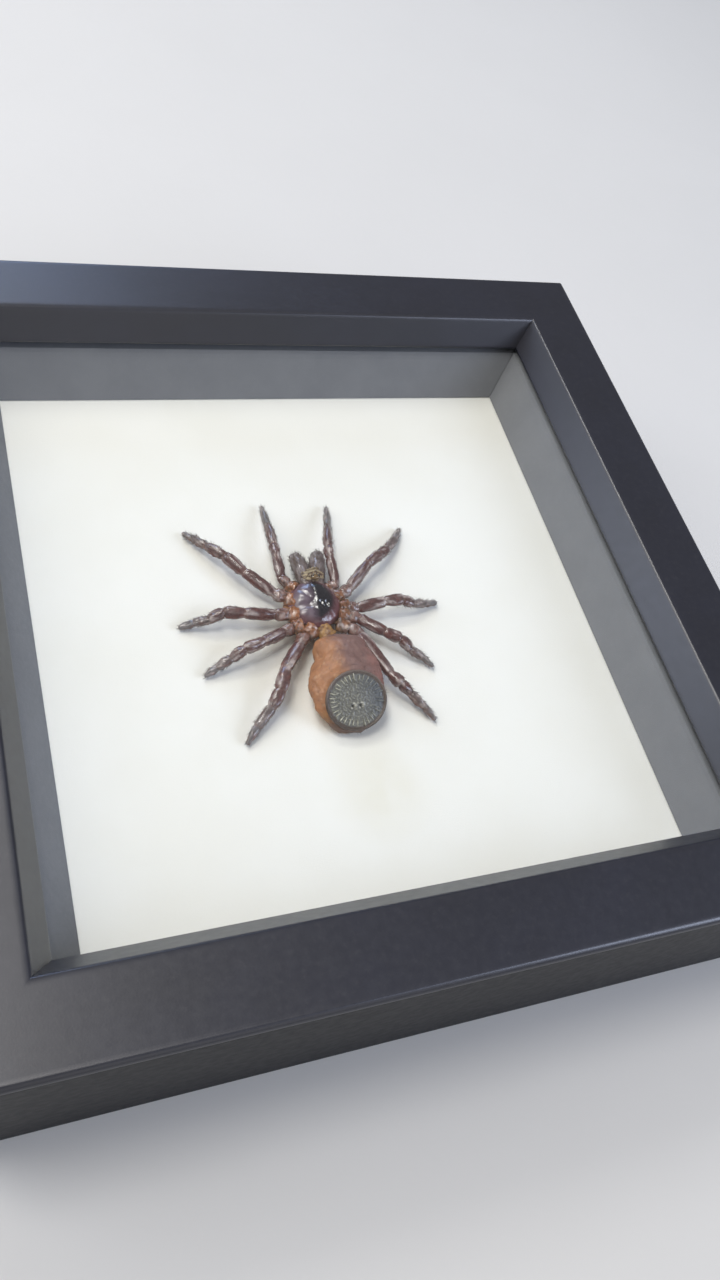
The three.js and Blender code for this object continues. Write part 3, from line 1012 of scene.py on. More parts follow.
@dataclass
class Limb:
    """One limb of the spider from its root to its tip."""

    name: str
    kind: LimbKind
    joints: tuple[tuple[float, float], ...]
    red: float = 0.0
    stout: float = 1.0
    sides: int = 26
    joint_tone: str = "a58474"
    # Tone of the painted highlight streaks on the limb's upper side.
    highlight_tone: str = "c9bab6"
    root_tone: str = "ad6c40"

    def middle(self, at: float) -> np.ndarray:
        """The middle line at a place counted in parts, with its bends eased."""
        points = np.array([(x, y, z) for (x, y), z in zip(self.joints, self.kind.heights)])
        last = len(points) - 1
        eased = [np.clip(at + shift, 0, last) for shift in (-0.1, -0.05, 0.0, 0.05, 0.1)]
        count = np.arange(len(points))
        return np.mean([[np.interp(s, count, points[:, i]) for i in range(3)] for s in eased], axis=0)

    def stations(self) -> list[float]:
        """Where the rings are, counted in parts."""
        steps = (0.0, 0.02, 0.06, 0.12, 0.2, 0.3, 0.42, 0.54, 0.66, 0.77, 0.86, 0.93, 0.97, 0.99)
        count = len(self.kind.parts)
        return [i + step for i in range(count) for step in steps] + [count - 1e-6]

    def sampled(self, stations: np.ndarray) -> dict[str, np.ndarray]:
        """What each ring takes from its part, eased into the next one.

        Args:
            stations: where the rings are, counted in parts.

        Returns:
            The rings' reach, their tones above and below, and their skin's values, by name.
        """
        parts = self.kind.parts
        found: dict[str, list[Any]] = {name: [] for name in ("reach", "above", "below", *SKIN_VALUES)}
        for at in stations:
            i = int(at)
            part, t = parts[i], at - i
            following = parts[min(i + 1, len(parts) - 1)]
            ease = unit((t - 0.7) / 0.3) * 0.5
            found["reach"].append(self.stout * self.kind.radii[i] * np.interp(t, *zip(*part.swell)))
            near = min(t, 1 - t) if 1 < i < len(parts) - 1 else t
            joint = 0.25 * bell(near, 0.04) if i else 0.0
            for name in ("above", "below"):
                own = blend(tone(getattr(part, name)), tone(getattr(following, name)), ease)
                found[name].append(blend(own, tone(self.joint_tone), joint))
            for name in SKIN_VALUES:
                own = getattr(part, name)
                found[name].append(own + (getattr(following, name) - own) * ease)
        return {name: np.array(values) for name, values in found.items()}

    def form(self, stations: np.ndarray, found: dict[str, np.ndarray], seed: int) -> np.ndarray:
        """The limb's rings, ridged along its length and dented.

        Args:
            stations: where the rings are, counted in parts.
            found: what they take from their parts.
            seed: moves the dents.

        Returns:
            The rings.
        """
        rings = tube([self.middle(at) for at in stations], found["reach"], self.sides, 0.94)
        ridges = 0.07 * np.cos(3 * around(self.sides) + seed + 0.9 * stations[:, None])
        middle = rings.mean(1, keepdims=True)
        rings = middle + (rings - middle) * (1 + ridges)[..., None]
        rings = roughened(rings, found["dents"][:, None], 1.3, seed)
        return roughened(rings, found["lumps"][:, None], 0.6, seed + 9)

    def painted_highlights(self, stations: np.ndarray, rings: np.ndarray, seed: int) -> np.ndarray:
        """How much painted highlight each point takes, in pale streaks that run along the limb's upper side.

        Args:
            stations: where the rings are, counted in parts.
            rings: the limb's rings.
            seed: moves the streaks.

        Returns:
            One value a point.
        """
        turn = around(self.sides)
        lay = 1.3 * stations[:, None]
        laid = np.stack([lay + 0 * turn, 1.15 * np.cos(turn) + 0 * lay, 1.15 * np.sin(turn) + 0 * lay], 2)
        highlight_share = unit(3.2 * cloud(laid, 0.6, seed + 7) - 0.25) * unit(0.4 + np.sin(turn))
        return highlight_share * np.clip(0.9 + 1.4 * cloud(rings, 0.45, seed + 2), 0.2, 1)

    def shell(self) -> Shell:
        """The limb's skin: shrunken and dented, duller and redder below than above, with painted highlight
        streaks along the top.
        """
        stations = np.array(self.stations())
        found = self.sampled(stations)
        seed = sum(map(ord, self.name))
        rings = self.form(stations, found, seed)
        made = Shell.plain(rings, (0, 0, 0))
        spots = cloud(rings, 0.9, seed)
        below = 0.42 + 0.6 * self.red - 0.75 * np.sin(around(self.sides))[None, :] + 0.9 * spots
        made.tint = blend(found["above"][:, None], found["below"][:, None], unit(below)[..., None])
        dark = found["specks"][:, None] * unit(2.2 * cloud(rings, 0.5, seed + 4) - 0.1)
        made.tint *= 1 - 0.8 * dark[..., None]
        highlight_share = self.painted_highlights(stations, rings, seed)
        # Painted highlight: pale streaks along the upper side.
        made.tint += 0.8 * highlight_share[..., None] * (tone(self.highlight_tone) - made.tint)
        if self.joints[0][0] < 0:
            warm = 0.5 * unit(1.5 - stations)[:, None, None] * (1 - dark[..., None])
            made.tint += warm * (tone(self.root_tone) - made.tint)
        made.dull = found["dull"][:, None] + 0.16 * np.clip(spots, -0.6, 1) - 0.06 * highlight_share
        made.fur = np.repeat(found["fur"][:, None], self.sides, 1)
        return made


LIMBS = (
    Limb("palp_left", PALP, (
        (-3.2, 3.5), (-4.2, 5.1), (-5.4, 6.5), (-5.3, 11.2), (-5.1, 14.1), (-4.8, 19.5), (-4.5, 25.9))),
    Limb("palp_right", PALP, (
        (2.3, 3.0), (3.8, 3.4), (5.1, 4.5), (5.5, 10.1), (5.8, 12.8), (7.4, 18.6), (9.3, 24.9))),
    Limb("leg_left_1", LEG, (
        (-3.7, 0.8), (-5.6, 2.1), (-7.5, 3.2), (-12.4, 8.1), (-15.2, 12.4), (-18.1, 15.7),
        (-20.0, 18.1), (-21.6, 20.1)), 0.1),
    Limb("leg_right_1", LEG, (
        (3.6, 0.9), (5.6, 2.0), (7.7, 3.2), (12.8, 8.1), (15.8, 10.1), (18.6, 12.2),
        (21.4, 15.1), (23.7, 18.2)), 0.1),
    Limb("leg_left_2", LEG, (
        (-3.9, -2.0), (-5.9, -1.5), (-8.5, -1.4), (-14.4, -0.9), (-18.0, -0.1), (-20.9, -1.0),
        (-23.5, -0.8), (-26.3, -1.2)), 0.35),
    Limb("leg_right_2", LEG, (
        (4.2, -1.0), (6.4, -1.0), (7.9, -1.5), (13.7, -1.0), (17.5, -0.7), (20.1, -1.4),
        (23.1, -0.9), (26.1, -0.5)), 0.2),
    Limb("leg_left_3", LEG, (
        (-3.8, -4.3), (-5.8, -4.6), (-7.7, -5.3), (-12.1, -7.3), (-15.8, -8.4), (-18.4, -9.5),
        (-21.2, -10.5), (-23.6, -11.8)), 0.45),
    Limb("leg_right_3", LEG, (
        (3.7, -2.7), (5.9, -3.1), (7.6, -3.9), (11.7, -7.9), (14.5, -9.4), (16.3, -11.4),
        (18.6, -12.8), (20.6, -14.9)), 0.45),
    Limb("leg_left_4", LEG, (
        (-1.9, -5.0), (-3.6, -6.5), (-5.2, -8.2), (-9.4, -13.4), (-11.3, -17.5), (-13.4, -20.1),
        (-16.6, -23.1), (-19.0, -25.9)), 0.5, 1.1),
    Limb("leg_right_4", LEG, (
        (2.9, -4.6), (5.2, -5.6), (6.8, -7.2), (10.1, -17.0), (11.6, -18.9), (13.4, -20.6),
        (15.6, -23.3), (17.3, -26.0)), 0.4),
)


def groove(x: np.ndarray, y: np.ndarray, line: Sequence[tuple[float, float]], width: float) -> np.ndarray:
    """How deep a groove along a broken line is at given points, from 0 to 1.

    Args:
        x: the points' x.
        y: the points' y.
        line: the groove's corners.
        width: its half width at about a third of its depth.

    Returns:
        1 on the line, falling to 0 away from it.
    """
    best = np.full(x.shape, 1e9)
    for (ax, ay), (bx, by) in zip(line, line[1:]):
        dx, dy = bx - ax, by - ay
        t = np.clip(((x - ax) * dx + (y - ay) * dy) / (dx * dx + dy * dy), 0, 1)
        best = np.minimum(best, np.hypot(x - ax - t * dx, y - ay - t * dy))
    return bell(best, width)


@dataclass
class Prosoma:
    """Front of the body: carapace, eyes, chelicerae and the skin between them."""

    middle: Point = (-0.3, 0.15, 3.0)
    half_wide: float = 5.1
    half_long: float = 5.05
    head_narrow: float = 0.12
    rise: float = 2.3
    drop: float = 1.75

    def carved(self, px: np.ndarray, py: np.ndarray, height: np.ndarray, top: np.ndarray) -> np.ndarray:
        """The carapace's height with its pit, head, crease and grooves.

        Args:
            px: the points' x from the carapace's middle.
            py: their y from it.
            height: their height on the plain dome.
            top: how much of the carving each takes, 0 below the dome.

        Returns:
            The carved height.
        """
        pit = [(0.6, -0.9), (0.7, -1.6), (1.15, -1.95), (1.65, -1.6), (1.7, -0.95)]
        height = height - top * 0.3 * groove(px, py, pit, 0.4)
        height = height + top * 0.22 * bell(px - 0.9, 1.9) * unit((py + 1.0) / 2.0)
        beside = np.clip(0.1 - px - 0.14 * np.sin(2.4 * py), 0, None)
        crease = np.minimum(beside, 0.35 + 1.5 * bell(py + 1.0, 0.8))
        height = height - top * 0.26 * crease * unit((3.6 - py) / 1.5) * unit((py + 4.2) / 1.5)
        for side in (-1, 1):
            neck = [(side * 0.9 + 0.2, -0.6), (side * 2.2 + 0.2, 1.4), (side * 3.3, 3.0)]
            height = height - top * 0.08 * groove(px, py, neck, 0.34)
            for ex, ey in ((4.6, 0.4), (4.7, -2.0), (2.9, -4.2)):
                ray = [(side * 1.4 + 0.2, -1.3), (side * ex, ey)]
                height = height - top * (0.045 + 0.015 * side) * groove(px, py, ray, 0.36)
        return height

    def carapace(self) -> Shell:
        """The domed carapace, closed below, with a painted reflection that makes its left slope lighter."""
        fall, x, y, z = globe(110, 120, 0.02)
        wide = self.half_wide * (1 - self.head_narrow * np.maximum(0, y) ** 2)
        px, py = x * wide, y * self.half_long
        dome = np.where(z > 0, self.rise * (1 + 0.14 * y), self.drop) * z
        grow = 1 + 0.025 * bell(fall - 1.5, 0.1)
        rings = np.stack([px * grow, py * grow, self.carved(px, py, dome, unit(z * 3))], 2)
        rings = roughened(roughened(np.array(self.middle) + rings, 0.11, 1.4, 3.0), 0.035, 0.5, 6.0)
        out = np.hypot(px / self.half_wide, py / self.half_long)
        share = unit((out - 0.7 + 0.16 * unit(px / 2)) / 0.3)
        made = Shell.plain(rings, (0, 0, 0))
        # Painted reflection: the left slope is tinted lighter violet and the right side stays near black.
        dark = blend(tone("201c22"), tone("665460"), unit((0.1 - px) / 1.6)[..., None])
        made.tint = blend(dark, tone("6e4044"), share[..., None])
        made.dull = 0.14 + 0.2 * share + 0.24 * unit((-0.4 - px) / 1.5)
        return made

    def under_skin(self) -> Shell:
        """The orange-brown skin that shows round the carapace between the legs."""
        _, x, y, z = globe(30, 96, 0.05)
        wave = 1 + 0.05 * np.cos(8 * around(96)[None, :] + 0.6)
        x = x * wave * (self.half_wide + 0.45) + self.middle[0]
        y = y * wave * (self.half_long + 0.2) + self.middle[1]
        rings = roughened(np.stack([x, y, 2.35 + z * 0.95], 2), 0.45, 0.8, 5.0)
        made = Shell.plain(rings, (0, 0, 0), 0.36)
        share = unit(0.5 + 1.8 * cloud(rings, 0.6, 0.0))[..., None]
        right = np.clip((rings[..., 0] - 1.5) / 3.0, 0, 0.75)[..., None]
        made.tint = blend(blend(tone("ae7c50"), tone("b0948a"), right), tone("5a3424"), share)
        return made

    def eye_hump(self) -> list[Shell]:
        """The low eye hump with its eight small eyes."""
        hub = (0.5, 4.8, 5.25)
        made = [self.bead(hub, (1.0, 0.65, 0.5), shade("7a5f3c"), 0.36, 20)]
        places = ((-0.28, 0.38), (0.28, 0.38), (-0.72, 0.26), (0.72, 0.26))
        places += ((-0.5, 0.0), (0.5, 0.0), (-0.78, -0.08), (0.78, -0.08))
        for x, y in places:
            rise = 0.5 * math.sqrt(max(0.0, 1 - x * x - (y / 0.65) ** 2))
            at = (hub[0] + x, hub[1] + y, hub[2] + rise)
            made.append(self.bead(at, (0.15, 0.15, 0.13), shade("141014"), 0.08, 10))
        return made

    @staticmethod
    def bead(at: Point, size: Point, tint: Colour, dull: float, sides: int) -> Shell:
        """A small rounded lump.

        Args:
            at: its middle.
            size: its half sizes.
            tint: its colour.
            dull: its roughness.
            sides: points on a ring.

        Returns:
            The lump's skin.
        """
        _, x, y, z = globe(max(6, sides // 2), sides, 0.12)
        return Shell.plain(np.array(at) + np.stack([x, y, z], 2) * np.array(size), tint, dull)

    def jaws(self) -> list[Shell]:
        """The two chelicerae with the fangs folded under them."""
        left = ((-0.9, 3.5, 3.5), (-1.0, 6.6, 3.7), (-1.25, 9.4, 3.3), (-1.2, 11.3, 2.8), (-0.85, 12.2, 2.3))
        right = ((1.0, 3.5, 3.5), (1.7, 6.6, 3.7), (2.5, 9.4, 3.3), (3.2, 11.3, 2.8), (3.5, 12.2, 2.3))
        made = []
        for seed, path in ((1.0, left), (2.0, right)):
            rows = [(*p, r) for p, r in zip(path, (1.3, 1.55, 1.5, 1.15, 0.5))]
            rings = roughened(bent_tube(rows, 26, 26, 0.95), 0.26, 1.1, seed)
            jaw = Shell.plain(roughened(rings, 0.16, 0.5, seed), (0, 0, 0), 0.44, 0.75)
            part = np.linspace(0, 1, 26)[:, None, None]
            lines = unit(0.4 + 2.0 * cloud(rings * (1.0, 0.35, 1.0), 0.5, seed))[..., None]
            jaw.tint = blend(tone("8a7a78"), tone("989092"), part)
            jaw.tint = jaw.tint * (1 - 0.75 * lines) + 0.3 * lines * tone("8a6c58")
            tip = np.array(path[-1])
            moves = ((0.1, -0.4, -0.3), (0, -0.2, -1.1), (-0.1, -1.4, -1.5), (-0.2, -2.8, -1.4))
            fang = [(*(tip + move), r) for move, r in zip(moves, (0.42, 0.38, 0.26, 0.06))]
            made += [jaw, Shell.plain(bent_tube(fang, 14, 12), shade("1a1214"), 0.15)]
        return made

    def folds(self) -> list[Shell]:
        """The crumpled gold and brown folds of skin between the carapace and the chelicerae."""
        base = self.bead((0.25, 5.5, 4.7), (2.3, 1.45, 0.85), (0, 0, 0), 0.34, 90)
        base.rings = roughened(roughened(base.rings, 0.4, 0.8, 2.0), 0.2, 0.4, 6.0)
        share = unit(0.5 + 2.2 * cloud(base.rings, 0.45, 1.0))[..., None]
        base.tint = blend(tone("ab9878"), tone("4e3c32"), share)
        made = [base]
        rows = (
            (((-1.9, 4.7, 4.8), (-0.9, 5.2, 5.3), (-0.1, 5.1, 5.5)), 0.16, "a08c70"),
            (((0.9, 5.3, 5.45), (1.7, 5.0, 5.2), (2.5, 5.2, 4.9)), 0.15, "86705a"),
            (((-1.7, 5.9, 5.0), (-0.5, 5.7, 5.5), (0.6, 6.1, 5.5), (1.9, 5.8, 5.3)), 0.15, "c4b494"),
            (((-1.2, 6.6, 5.0), (-0.2, 6.5, 5.35), (0.9, 6.9, 5.25), (2.0, 6.5, 5.2)), 0.14, "9c8a6e"),
            (((0.1, 7.2, 4.9), (1.1, 7.0, 5.05), (2.2, 7.3, 5.0)), 0.14, "8a7a66"),
        )
        for points, thick, tint in rows:
            run = curve_through(points, 26)
            swell = thick * np.sin(np.linspace(0.3, math.pi - 0.3, 26)) ** 0.5
            fold = Shell.plain(roughened(tube(run, swell, 12), 0.2, 0.35, thick * 50), shade(tint), 0.28)
            fold.tint *= (1 - 0.7 * unit(2 * cloud(fold.rings, 0.35, 3.0)))[..., None]
            made.append(fold)
        return made

    def waist(self) -> Shell:
        """The short gold stalk between carapace and abdomen."""
        rows = ((0.3, -3.6, 2.2, 1.5), (0.55, -6.2, 2.5, 1.65), (0.9, -9.0, 3.0, 1.7))
        rings = roughened(roughened(bent_tube(rows, 30, 36, 0.72), 0.4, 0.8, 4.0), 0.16, 0.35, 5.0)
        made = Shell.plain(rings, (0, 0, 0), 0.34)
        made.tint = blend(tone("ab8350"), tone("6a4428"), unit(0.3 + 1.8 * cloud(rings, 0.5, 0.0))[..., None])
        return made


@dataclass
class Abdomen:
    """The leathery sac and the ribbed disc that closes it."""

    sac: tuple[tuple[float, ...], ...] = (
        (0.8, -7.4, 3.0, 1.6, 1.1, 0),
        (1.5, -8.4, 3.4, 3.9, 2.3, 0),
        (1.7, -9.8, 3.8, 5.0, 3.1, 0),
        (1.6, -12.2, 3.9, 5.6, 3.5, 5),
        (1.3, -14.8, 4.0, 6.5, 3.7, 15),
        (0.9, -17.8, 4.1, 7.1, 4.4, 32),
        (0.7, -20.2, 4.2, 6.95, 5.3, 48),
        (0.75, -21.3, 4.4, 6.6, 6.1, 57),
        (1.1, -21.75, 4.85, 5.9, 5.5, 60),
    )
    disc_at: Point = (1.3, -22.1, 5.2)
    wide: float = 5.85
    high: float = 5.4
    tilt: float = 60.0
    ribs: int = 32
    sides: int = 144
    pits: tuple[float, float] = (-2.2, -0.95)
    pit_out: float = 0.22

    @staticmethod
    def ways(tilt: float) -> tuple[np.ndarray, np.ndarray]:
        """The way up a plane tilted back by an angle in degrees, and the way out of it."""
        angle = math.radians(tilt)
        up = np.array([0, math.sin(angle), math.cos(angle)])
        return up, np.array([0, -math.cos(angle), math.sin(angle)])

    @staticmethod
    def cool(u: np.ndarray, v: np.ndarray) -> np.ndarray:
        """How far places on the disc are turned to its dark blue-grey side, from 0 to 1.

        Args:
            u: the places' way right of the disc's middle, in millimetres.
            v: their way up from it.

        Returns:
            One value a place.
        """
        return np.clip((u + 0.25 * v - 0.3) / 4.0, 0, 1)

    def sac_shell(self) -> Shell:
        """The sac from the waist to the disc's edge."""
        turn = around(self.sides)
        rings = []
        for x, y, z, wide, high, tilt in curve_through(self.sac, 56):
            ring = np.array([x, y, z]) + np.outer(np.sin(turn) * high, self.ways(tilt)[0])
            ring[:, 0] += wide * np.cos(turn)
            rings.append(ring)
        grid = np.array(rings)
        grid[..., 0] += 0.4 * bell(grid[..., 1] + 12.6, 0.9) * unit(-(grid[..., 0] - 1.5) / 4.0)
        for depth, pitch, seed in ((0.45, 3.2, 7.0), (0.2, 0.9, 8.0), (0.1, 0.4, 9.0)):
            grid = roughened(grid, depth, pitch, seed)
        made = Shell.plain(grid, (0, 0, 0), 0.4, 0.06)
        x, y, z = (grid[..., i] for i in range(3))
        spots = cloud(grid, 1.5, 0.0)
        side = unit((x + 1.5 + 1.2 * spots) / 2.6)[..., None]
        low = unit((4.2 - z + 1.5 * spots) / 3.0)[..., None] * (1 - side)
        made.tint = blend(tone("b07a54"), tone("82645e"), side)
        made.tint = blend(made.tint, tone("92665e"), unit((x - 4.5 + spots) / 2.5)[..., None])
        made.tint = blend(made.tint, tone("bc9058"), low)
        # Painted shade: the sac turns dark brown-grey on its lowest rear part, below the disc.
        made.tint = blend(made.tint, tone("6e564a"), unit((-23.2 - y - spots) / 2.5)[..., None])
        speck = np.clip(3.0 * cloud(grid, 0.6, 2.0) - 1.1, 0, 0.45)[..., None] * (1.1 - side)
        made.tint += speck * (tone("d0a884") - made.tint)
        made.dull = 0.34 + 0.1 * unit((z - 3) / 4)
        return made

    def pit_marks(self, u: np.ndarray, v: np.ndarray) -> tuple[np.ndarray, np.ndarray, np.ndarray]:
        """The two pits of the disc, each in a low mound, with painted shade in the pit and painted glints
        beside it.

        Args:
            u: the places' way right of the disc's middle, in millimetres.
            v: their way up from it.

        Returns:
            The height that the pits add, how much painted shade each place takes, and how much painted glint.
        """
        lift, painted_pit_shade, painted_glint = (np.zeros(u.shape) for _ in range(3))
        for angle in self.pits:
            du = u - self.pit_out * self.wide * math.cos(angle)
            dv = v - self.pit_out * self.high * math.sin(angle)
            away = du**2 + dv**2
            lift += 0.2 * np.exp(-away / 0.5) - 0.55 * np.exp(-away / 0.1)
            painted_pit_shade += np.exp(-away / 0.08)
            for right, up, size in ((0.38, 0.1, 0.26), (0.12, 0.46, 0.18), (-0.32, -0.34, 0.14)):
                painted_glint += np.exp(-((du - right) ** 2 + (dv - up) ** 2) / size**2)
        return lift, unit(painted_pit_shade), unit(painted_glint)

    def disc_shell(self) -> Shell:
        """The disc: a horny plate with a raised rim, closed behind."""
        up, out = self.ways(self.tilt)
        rows = [(0.5, -1.0), (0.93, -0.75), (0.99, -0.4), (1.01, -0.1), (1.0, 0.1)]
        rows += [(0.985, 0.2), (0.965, 0.24), (0.945, 0.2), (0.925, 0.1), (0.91, 0.0)]
        rows += [(reach, 0.12 * (1 - (reach / 0.91) ** 2)) for reach in np.linspace(0.895, 0.015, 60)]
        turn = around(self.sides)
        rings, tint, dull = [], [], []
        rim, face, pale = tone("54463e"), tone("6b6962"), tone("b0ac9c")
        for reach, high in rows:
            u, v = reach * self.wide * np.cos(turn), reach * self.high * np.sin(turn)
            lift = np.full(self.sides, high)
            grain = np.array([noise.noise(Vector((a * 2.9, b * 2.9, 3.0))) for a, b in zip(u, v)])
            front = high > -0.05 and reach < 0.9
            ring_tint = rim * (1 + 0.5 * grain[:, None])
            ring_tint += np.clip(0.25 + v / self.high, 0, 0.7)[:, None] * (tone("7c6c64") - ring_tint)
            if front:
                pits, painted_pit_shade, painted_glint = self.pit_marks(u, v)
                lift += pits + 0.1 * grain
                ring_tint = blend(face, pale, unit(0.1 + 1.7 * grain)[:, None] * 0.6)
                ring_tint = blend(ring_tint, tone(COOL_TONE), 0.75 * self.cool(u, v)[:, None])
                # Painted glints beside each pit and painted shade inside it.
                ring_tint += 0.8 * painted_glint[:, None] * (tone("f2eee2") - ring_tint)
                ring_tint *= 1 - 0.85 * painted_pit_shade[:, None]
                ring_tint = blend(ring_tint, rim, unit((reach - 0.84) / 0.06))
            place = np.array(self.disc_at) + np.outer(v, up) + np.outer(lift, out)
            place[:, 0] += u
            rings.append(place)
            tint.append(ring_tint)
            dull.append(np.full(self.sides, 0.34 if front else 0.4))
        made = Shell.plain(np.array(rings), (0, 0, 0))
        made.tint, made.dull = np.array(tint), np.array(dull)
        return made

    def rib(self) -> bpy.types.Object:
        """One rib, for a disc of radius 1: a ridge that is pale at its outer end, lying along +X."""
        points = ((0.56, 0.004, 0.008), (0.64, 0.014, 0.016), (0.77, 0.02, 0.024), (0.87, 0.016, 0.024))
        rows = [(x, 0, z, r) for x, z, r in (*points, (0.92, 0.0, 0.01))]
        shell = Shell.plain(bent_tube(rows, 12, 8, 1.1), (0, 0, 0), 0.3)
        share = unit((curve_through(rows, 12)[:, 0] - 0.66) / 0.14)[:, None, None]
        shell.tint = np.broadcast_to(blend(tone("6a675e"), tone("bcb8a8"), share), shell.tint.shape).copy()
        return skin("disc_rib", [shell], (0, 0, 0), 1.0)

    def ribs_tree(self) -> bpy.types.NodeTree:
        """A tree that turns a rib round the disc, each a little different."""
        inputs = {
            "Start": Socket.SHAPE,
            "Rib": Socket.THING,
            "Count": Socket.WHOLE,
            "Uneven": Socket.NUMBER,
            "Seed": Socket.WHOLE,
            "Horn": Socket.FINISH,
        }
        graph = Group("disc_ribs", "GeometryNodeTree", inputs, {"Ribs": Socket.SHAPE})
        given = graph.given
        rib = graph.add("GeometryNodeObjectInfo", {"Object": given["Rib"]}).outputs["Geometry"]
        line = graph.add("GeometryNodeMeshLine", {"Count": given["Count"], "Offset": (0, 0, 0)}).outputs[0]
        number = graph.add("GeometryNodeInputIndex").outputs[0]
        step = graph.math("DIVIDE", 2 * math.pi, given["Count"])
        nudge = graph.math("MULTIPLY", graph.random(-0.3, 0.3, given["Seed"], ID=number), given["Uneven"])
        turn = graph.math("MULTIPLY", graph.math("ADD", number, nudge), step)
        spin = graph.add("ShaderNodeCombineXYZ", {"Z": turn}).outputs[0]
        least = graph.math("SUBTRACT", 1.0, graph.math("MULTIPLY", given["Uneven"], 0.12))
        size = graph.random(least, 1.0, given["Seed"], ID=number)
        return graph.give(Ribs=graph.lay(line, rib, spin, given["Horn"], size))

    def ribs_piece(self) -> bpy.types.Object:
        """The ring of ribs, laid on the disc."""
        rib = self.rib()
        start = to_object("rib_start", bpy.data.meshes.new("rib_start"))
        values = {"Rib": rib, "Count": self.ribs, "Uneven": 1.0, "Seed": 5}
        values["Horn"] = Finishes.get(Finishes.plate)
        piece = with_nodes(start, self.ribs_tree(), values, "spider_disc_ribs")
        for spare in (rib, start):
            bpy.data.objects.remove(spare)
        up, out = self.ways(self.tilt)
        at = np.array(self.disc_at) + np.array(SPIDER_AT)
        columns = (np.array((self.wide, 0, 0)), up * self.high, out * self.high, at)
        rows = [[column[i] * MM for column in columns] for i in range(3)]
        flat = np.empty(len(piece.data.vertices) * 3)
        piece.data.vertices.foreach_get("co", flat)
        flat = flat.reshape(-1, 3)
        self.darken(piece.data, 0.75 * self.cool(flat[:, 0] * self.wide, flat[:, 1] * self.high))
        piece.data.transform(Matrix((*rows, (0, 0, 0, 1))))
        smooth(piece.data, 70)
        return piece

    @staticmethod
    def darken(mesh: bpy.types.Mesh, share: np.ndarray) -> None:
        """Moves a mesh's tints towards blue-grey.

        Args:
            mesh: the mesh, with a tint on each point.
            share: how far each point's tint moves, from 0 to 1.
        """
        data = mesh.attributes["tint"].data
        tint = np.empty(len(data) * 4)
        data.foreach_get("color", tint)
        tint = tint.reshape(-1, 4)
        tint[:, :3] += share[:, None] * (tone(COOL_TONE) - tint[:, :3])
        data.foreach_set("color", tint.ravel().astype(np.float32))


@dataclass
class Coat:
    """Short bristles on the limbs, the chelicerae and the sac. Density is for a square millimetre."""

    density: float = 9.0
    length: float = 0.75
    thick: float = 0.035
    lie: float = 0.72
    seed: int = 11

    def tree(self) -> bpy.types.NodeTree:
        """A tree that grows bristles where the surface says so, lying the way it says."""
        inputs = {
            "Surface": Socket.SHAPE,
            "Density": Socket.NUMBER,
            "Length": Socket.NUMBER,
            "Thickness": Socket.NUMBER,
            "Lie": Socket.NUMBER,
            "Seed": Socket.WHOLE,
            "Finish": Socket.FINISH,
        }
        graph = Group("bristle_coat", "GeometryNodeTree", inputs, {"Bristles": Socket.SHAPE})
        given = graph.given
        thick_on = graph.math("MULTIPLY", graph.named("fur", "FLOAT"), given["Density"])
        sockets = {"Mesh": given["Surface"], "Density": thick_on, "Seed": given["Seed"]}
        spots = graph.add("GeometryNodeDistributePointsOnFaces", sockets, distribute_method="RANDOM").outputs
        lying = graph.scaled(graph.vector("NORMALIZE", graph.named("along", "FLOAT_VECTOR")), given["Lie"])
        sockets = {0: (-0.3, -0.3, -0.1), 1: (0.3, 0.3, 0.3), "Seed": given["Seed"]}
        stray = graph.add("FunctionNodeRandomValue", sockets, data_type="FLOAT_VECTOR").outputs[0]
        way = graph.vector("ADD", lying, stray)
        way = graph.vector("ADD", way, graph.scaled(spots["Normal"], 0.5))
        turn = graph.add("FunctionNodeAlignRotationToVector", {"Vector": way}, axis="Z").outputs[0]
        sockets = {"Vertices": 3, "Radius Top": 0.0, "Radius Bottom": given["Thickness"]}
        hair = graph.add("GeometryNodeMeshCone", {**sockets, "Depth": given["Length"]}).outputs["Mesh"]
        size = graph.random(0.55, 1.15, given["Seed"])
        return graph.give(Bristles=graph.lay(spots["Points"], hair, turn, given["Finish"], size))

    def grow(self, surface: bpy.types.Object, tree: bpy.types.NodeTree, name: str) -> bpy.types.Object:
        """Grows the bristles of one surface.

        Args:
            surface: the object that they stand on.
            tree: the tree from this class.
            name: the new object's name.

        Returns:
            The bristles.
        """
        values = {
            "Density": self.density / MM**2,
            "Length": self.length * MM,
            "Thickness": self.thick * MM,
            "Lie": self.lie,
            "Seed": self.seed,
            "Finish": Finishes.get(Finishes.bristle),
        }
        return with_nodes(surface, tree, values, name)


@dataclass
class Spider:
    """The dried spider on the mat."""

    prosoma: Prosoma = field(default_factory=Prosoma)
    abdomen: Abdomen = field(default_factory=Abdomen)
    coat: Coat = field(default_factory=Coat)

    def build(self) -> None:
        """Makes every piece of the spider."""
        front, rear = self.prosoma, self.abdomen
        skins = (
            ("spider_legs", [limb.shell() for limb in LIMBS], Finishes.cuticle),
            ("spider_chelicerae", front.jaws(), Finishes.cuticle),
            ("spider_carapace", [front.carapace(), *front.eye_hump()], Finishes.polished),
            ("spider_soft_skin", [front.under_skin(), *front.folds(), front.waist()], Finishes.hide),
            ("spider_abdomen", [rear.sac_shell()], Finishes.hide),
            ("spider_disc", [rear.disc_shell()], Finishes.plate),
        )
        dressed = [(skin(name, shells, SPIDER_AT), finish) for name, shells, finish in skins]
        bare = {piece.name: piece for piece, _ in dressed}
        tree = self.coat.tree()
        coats = [self.coat.grow(bare[f"spider_{on}"], tree, f"spider_{name}_bristles") for on, name in COATED]
        dressed.append((rear.ribs_piece(), Finishes.plate))
        dressed += [(coat, Finishes.bristle) for coat in coats]
        for piece, finish in dressed:
            finished(piece, finish, ["spider"])


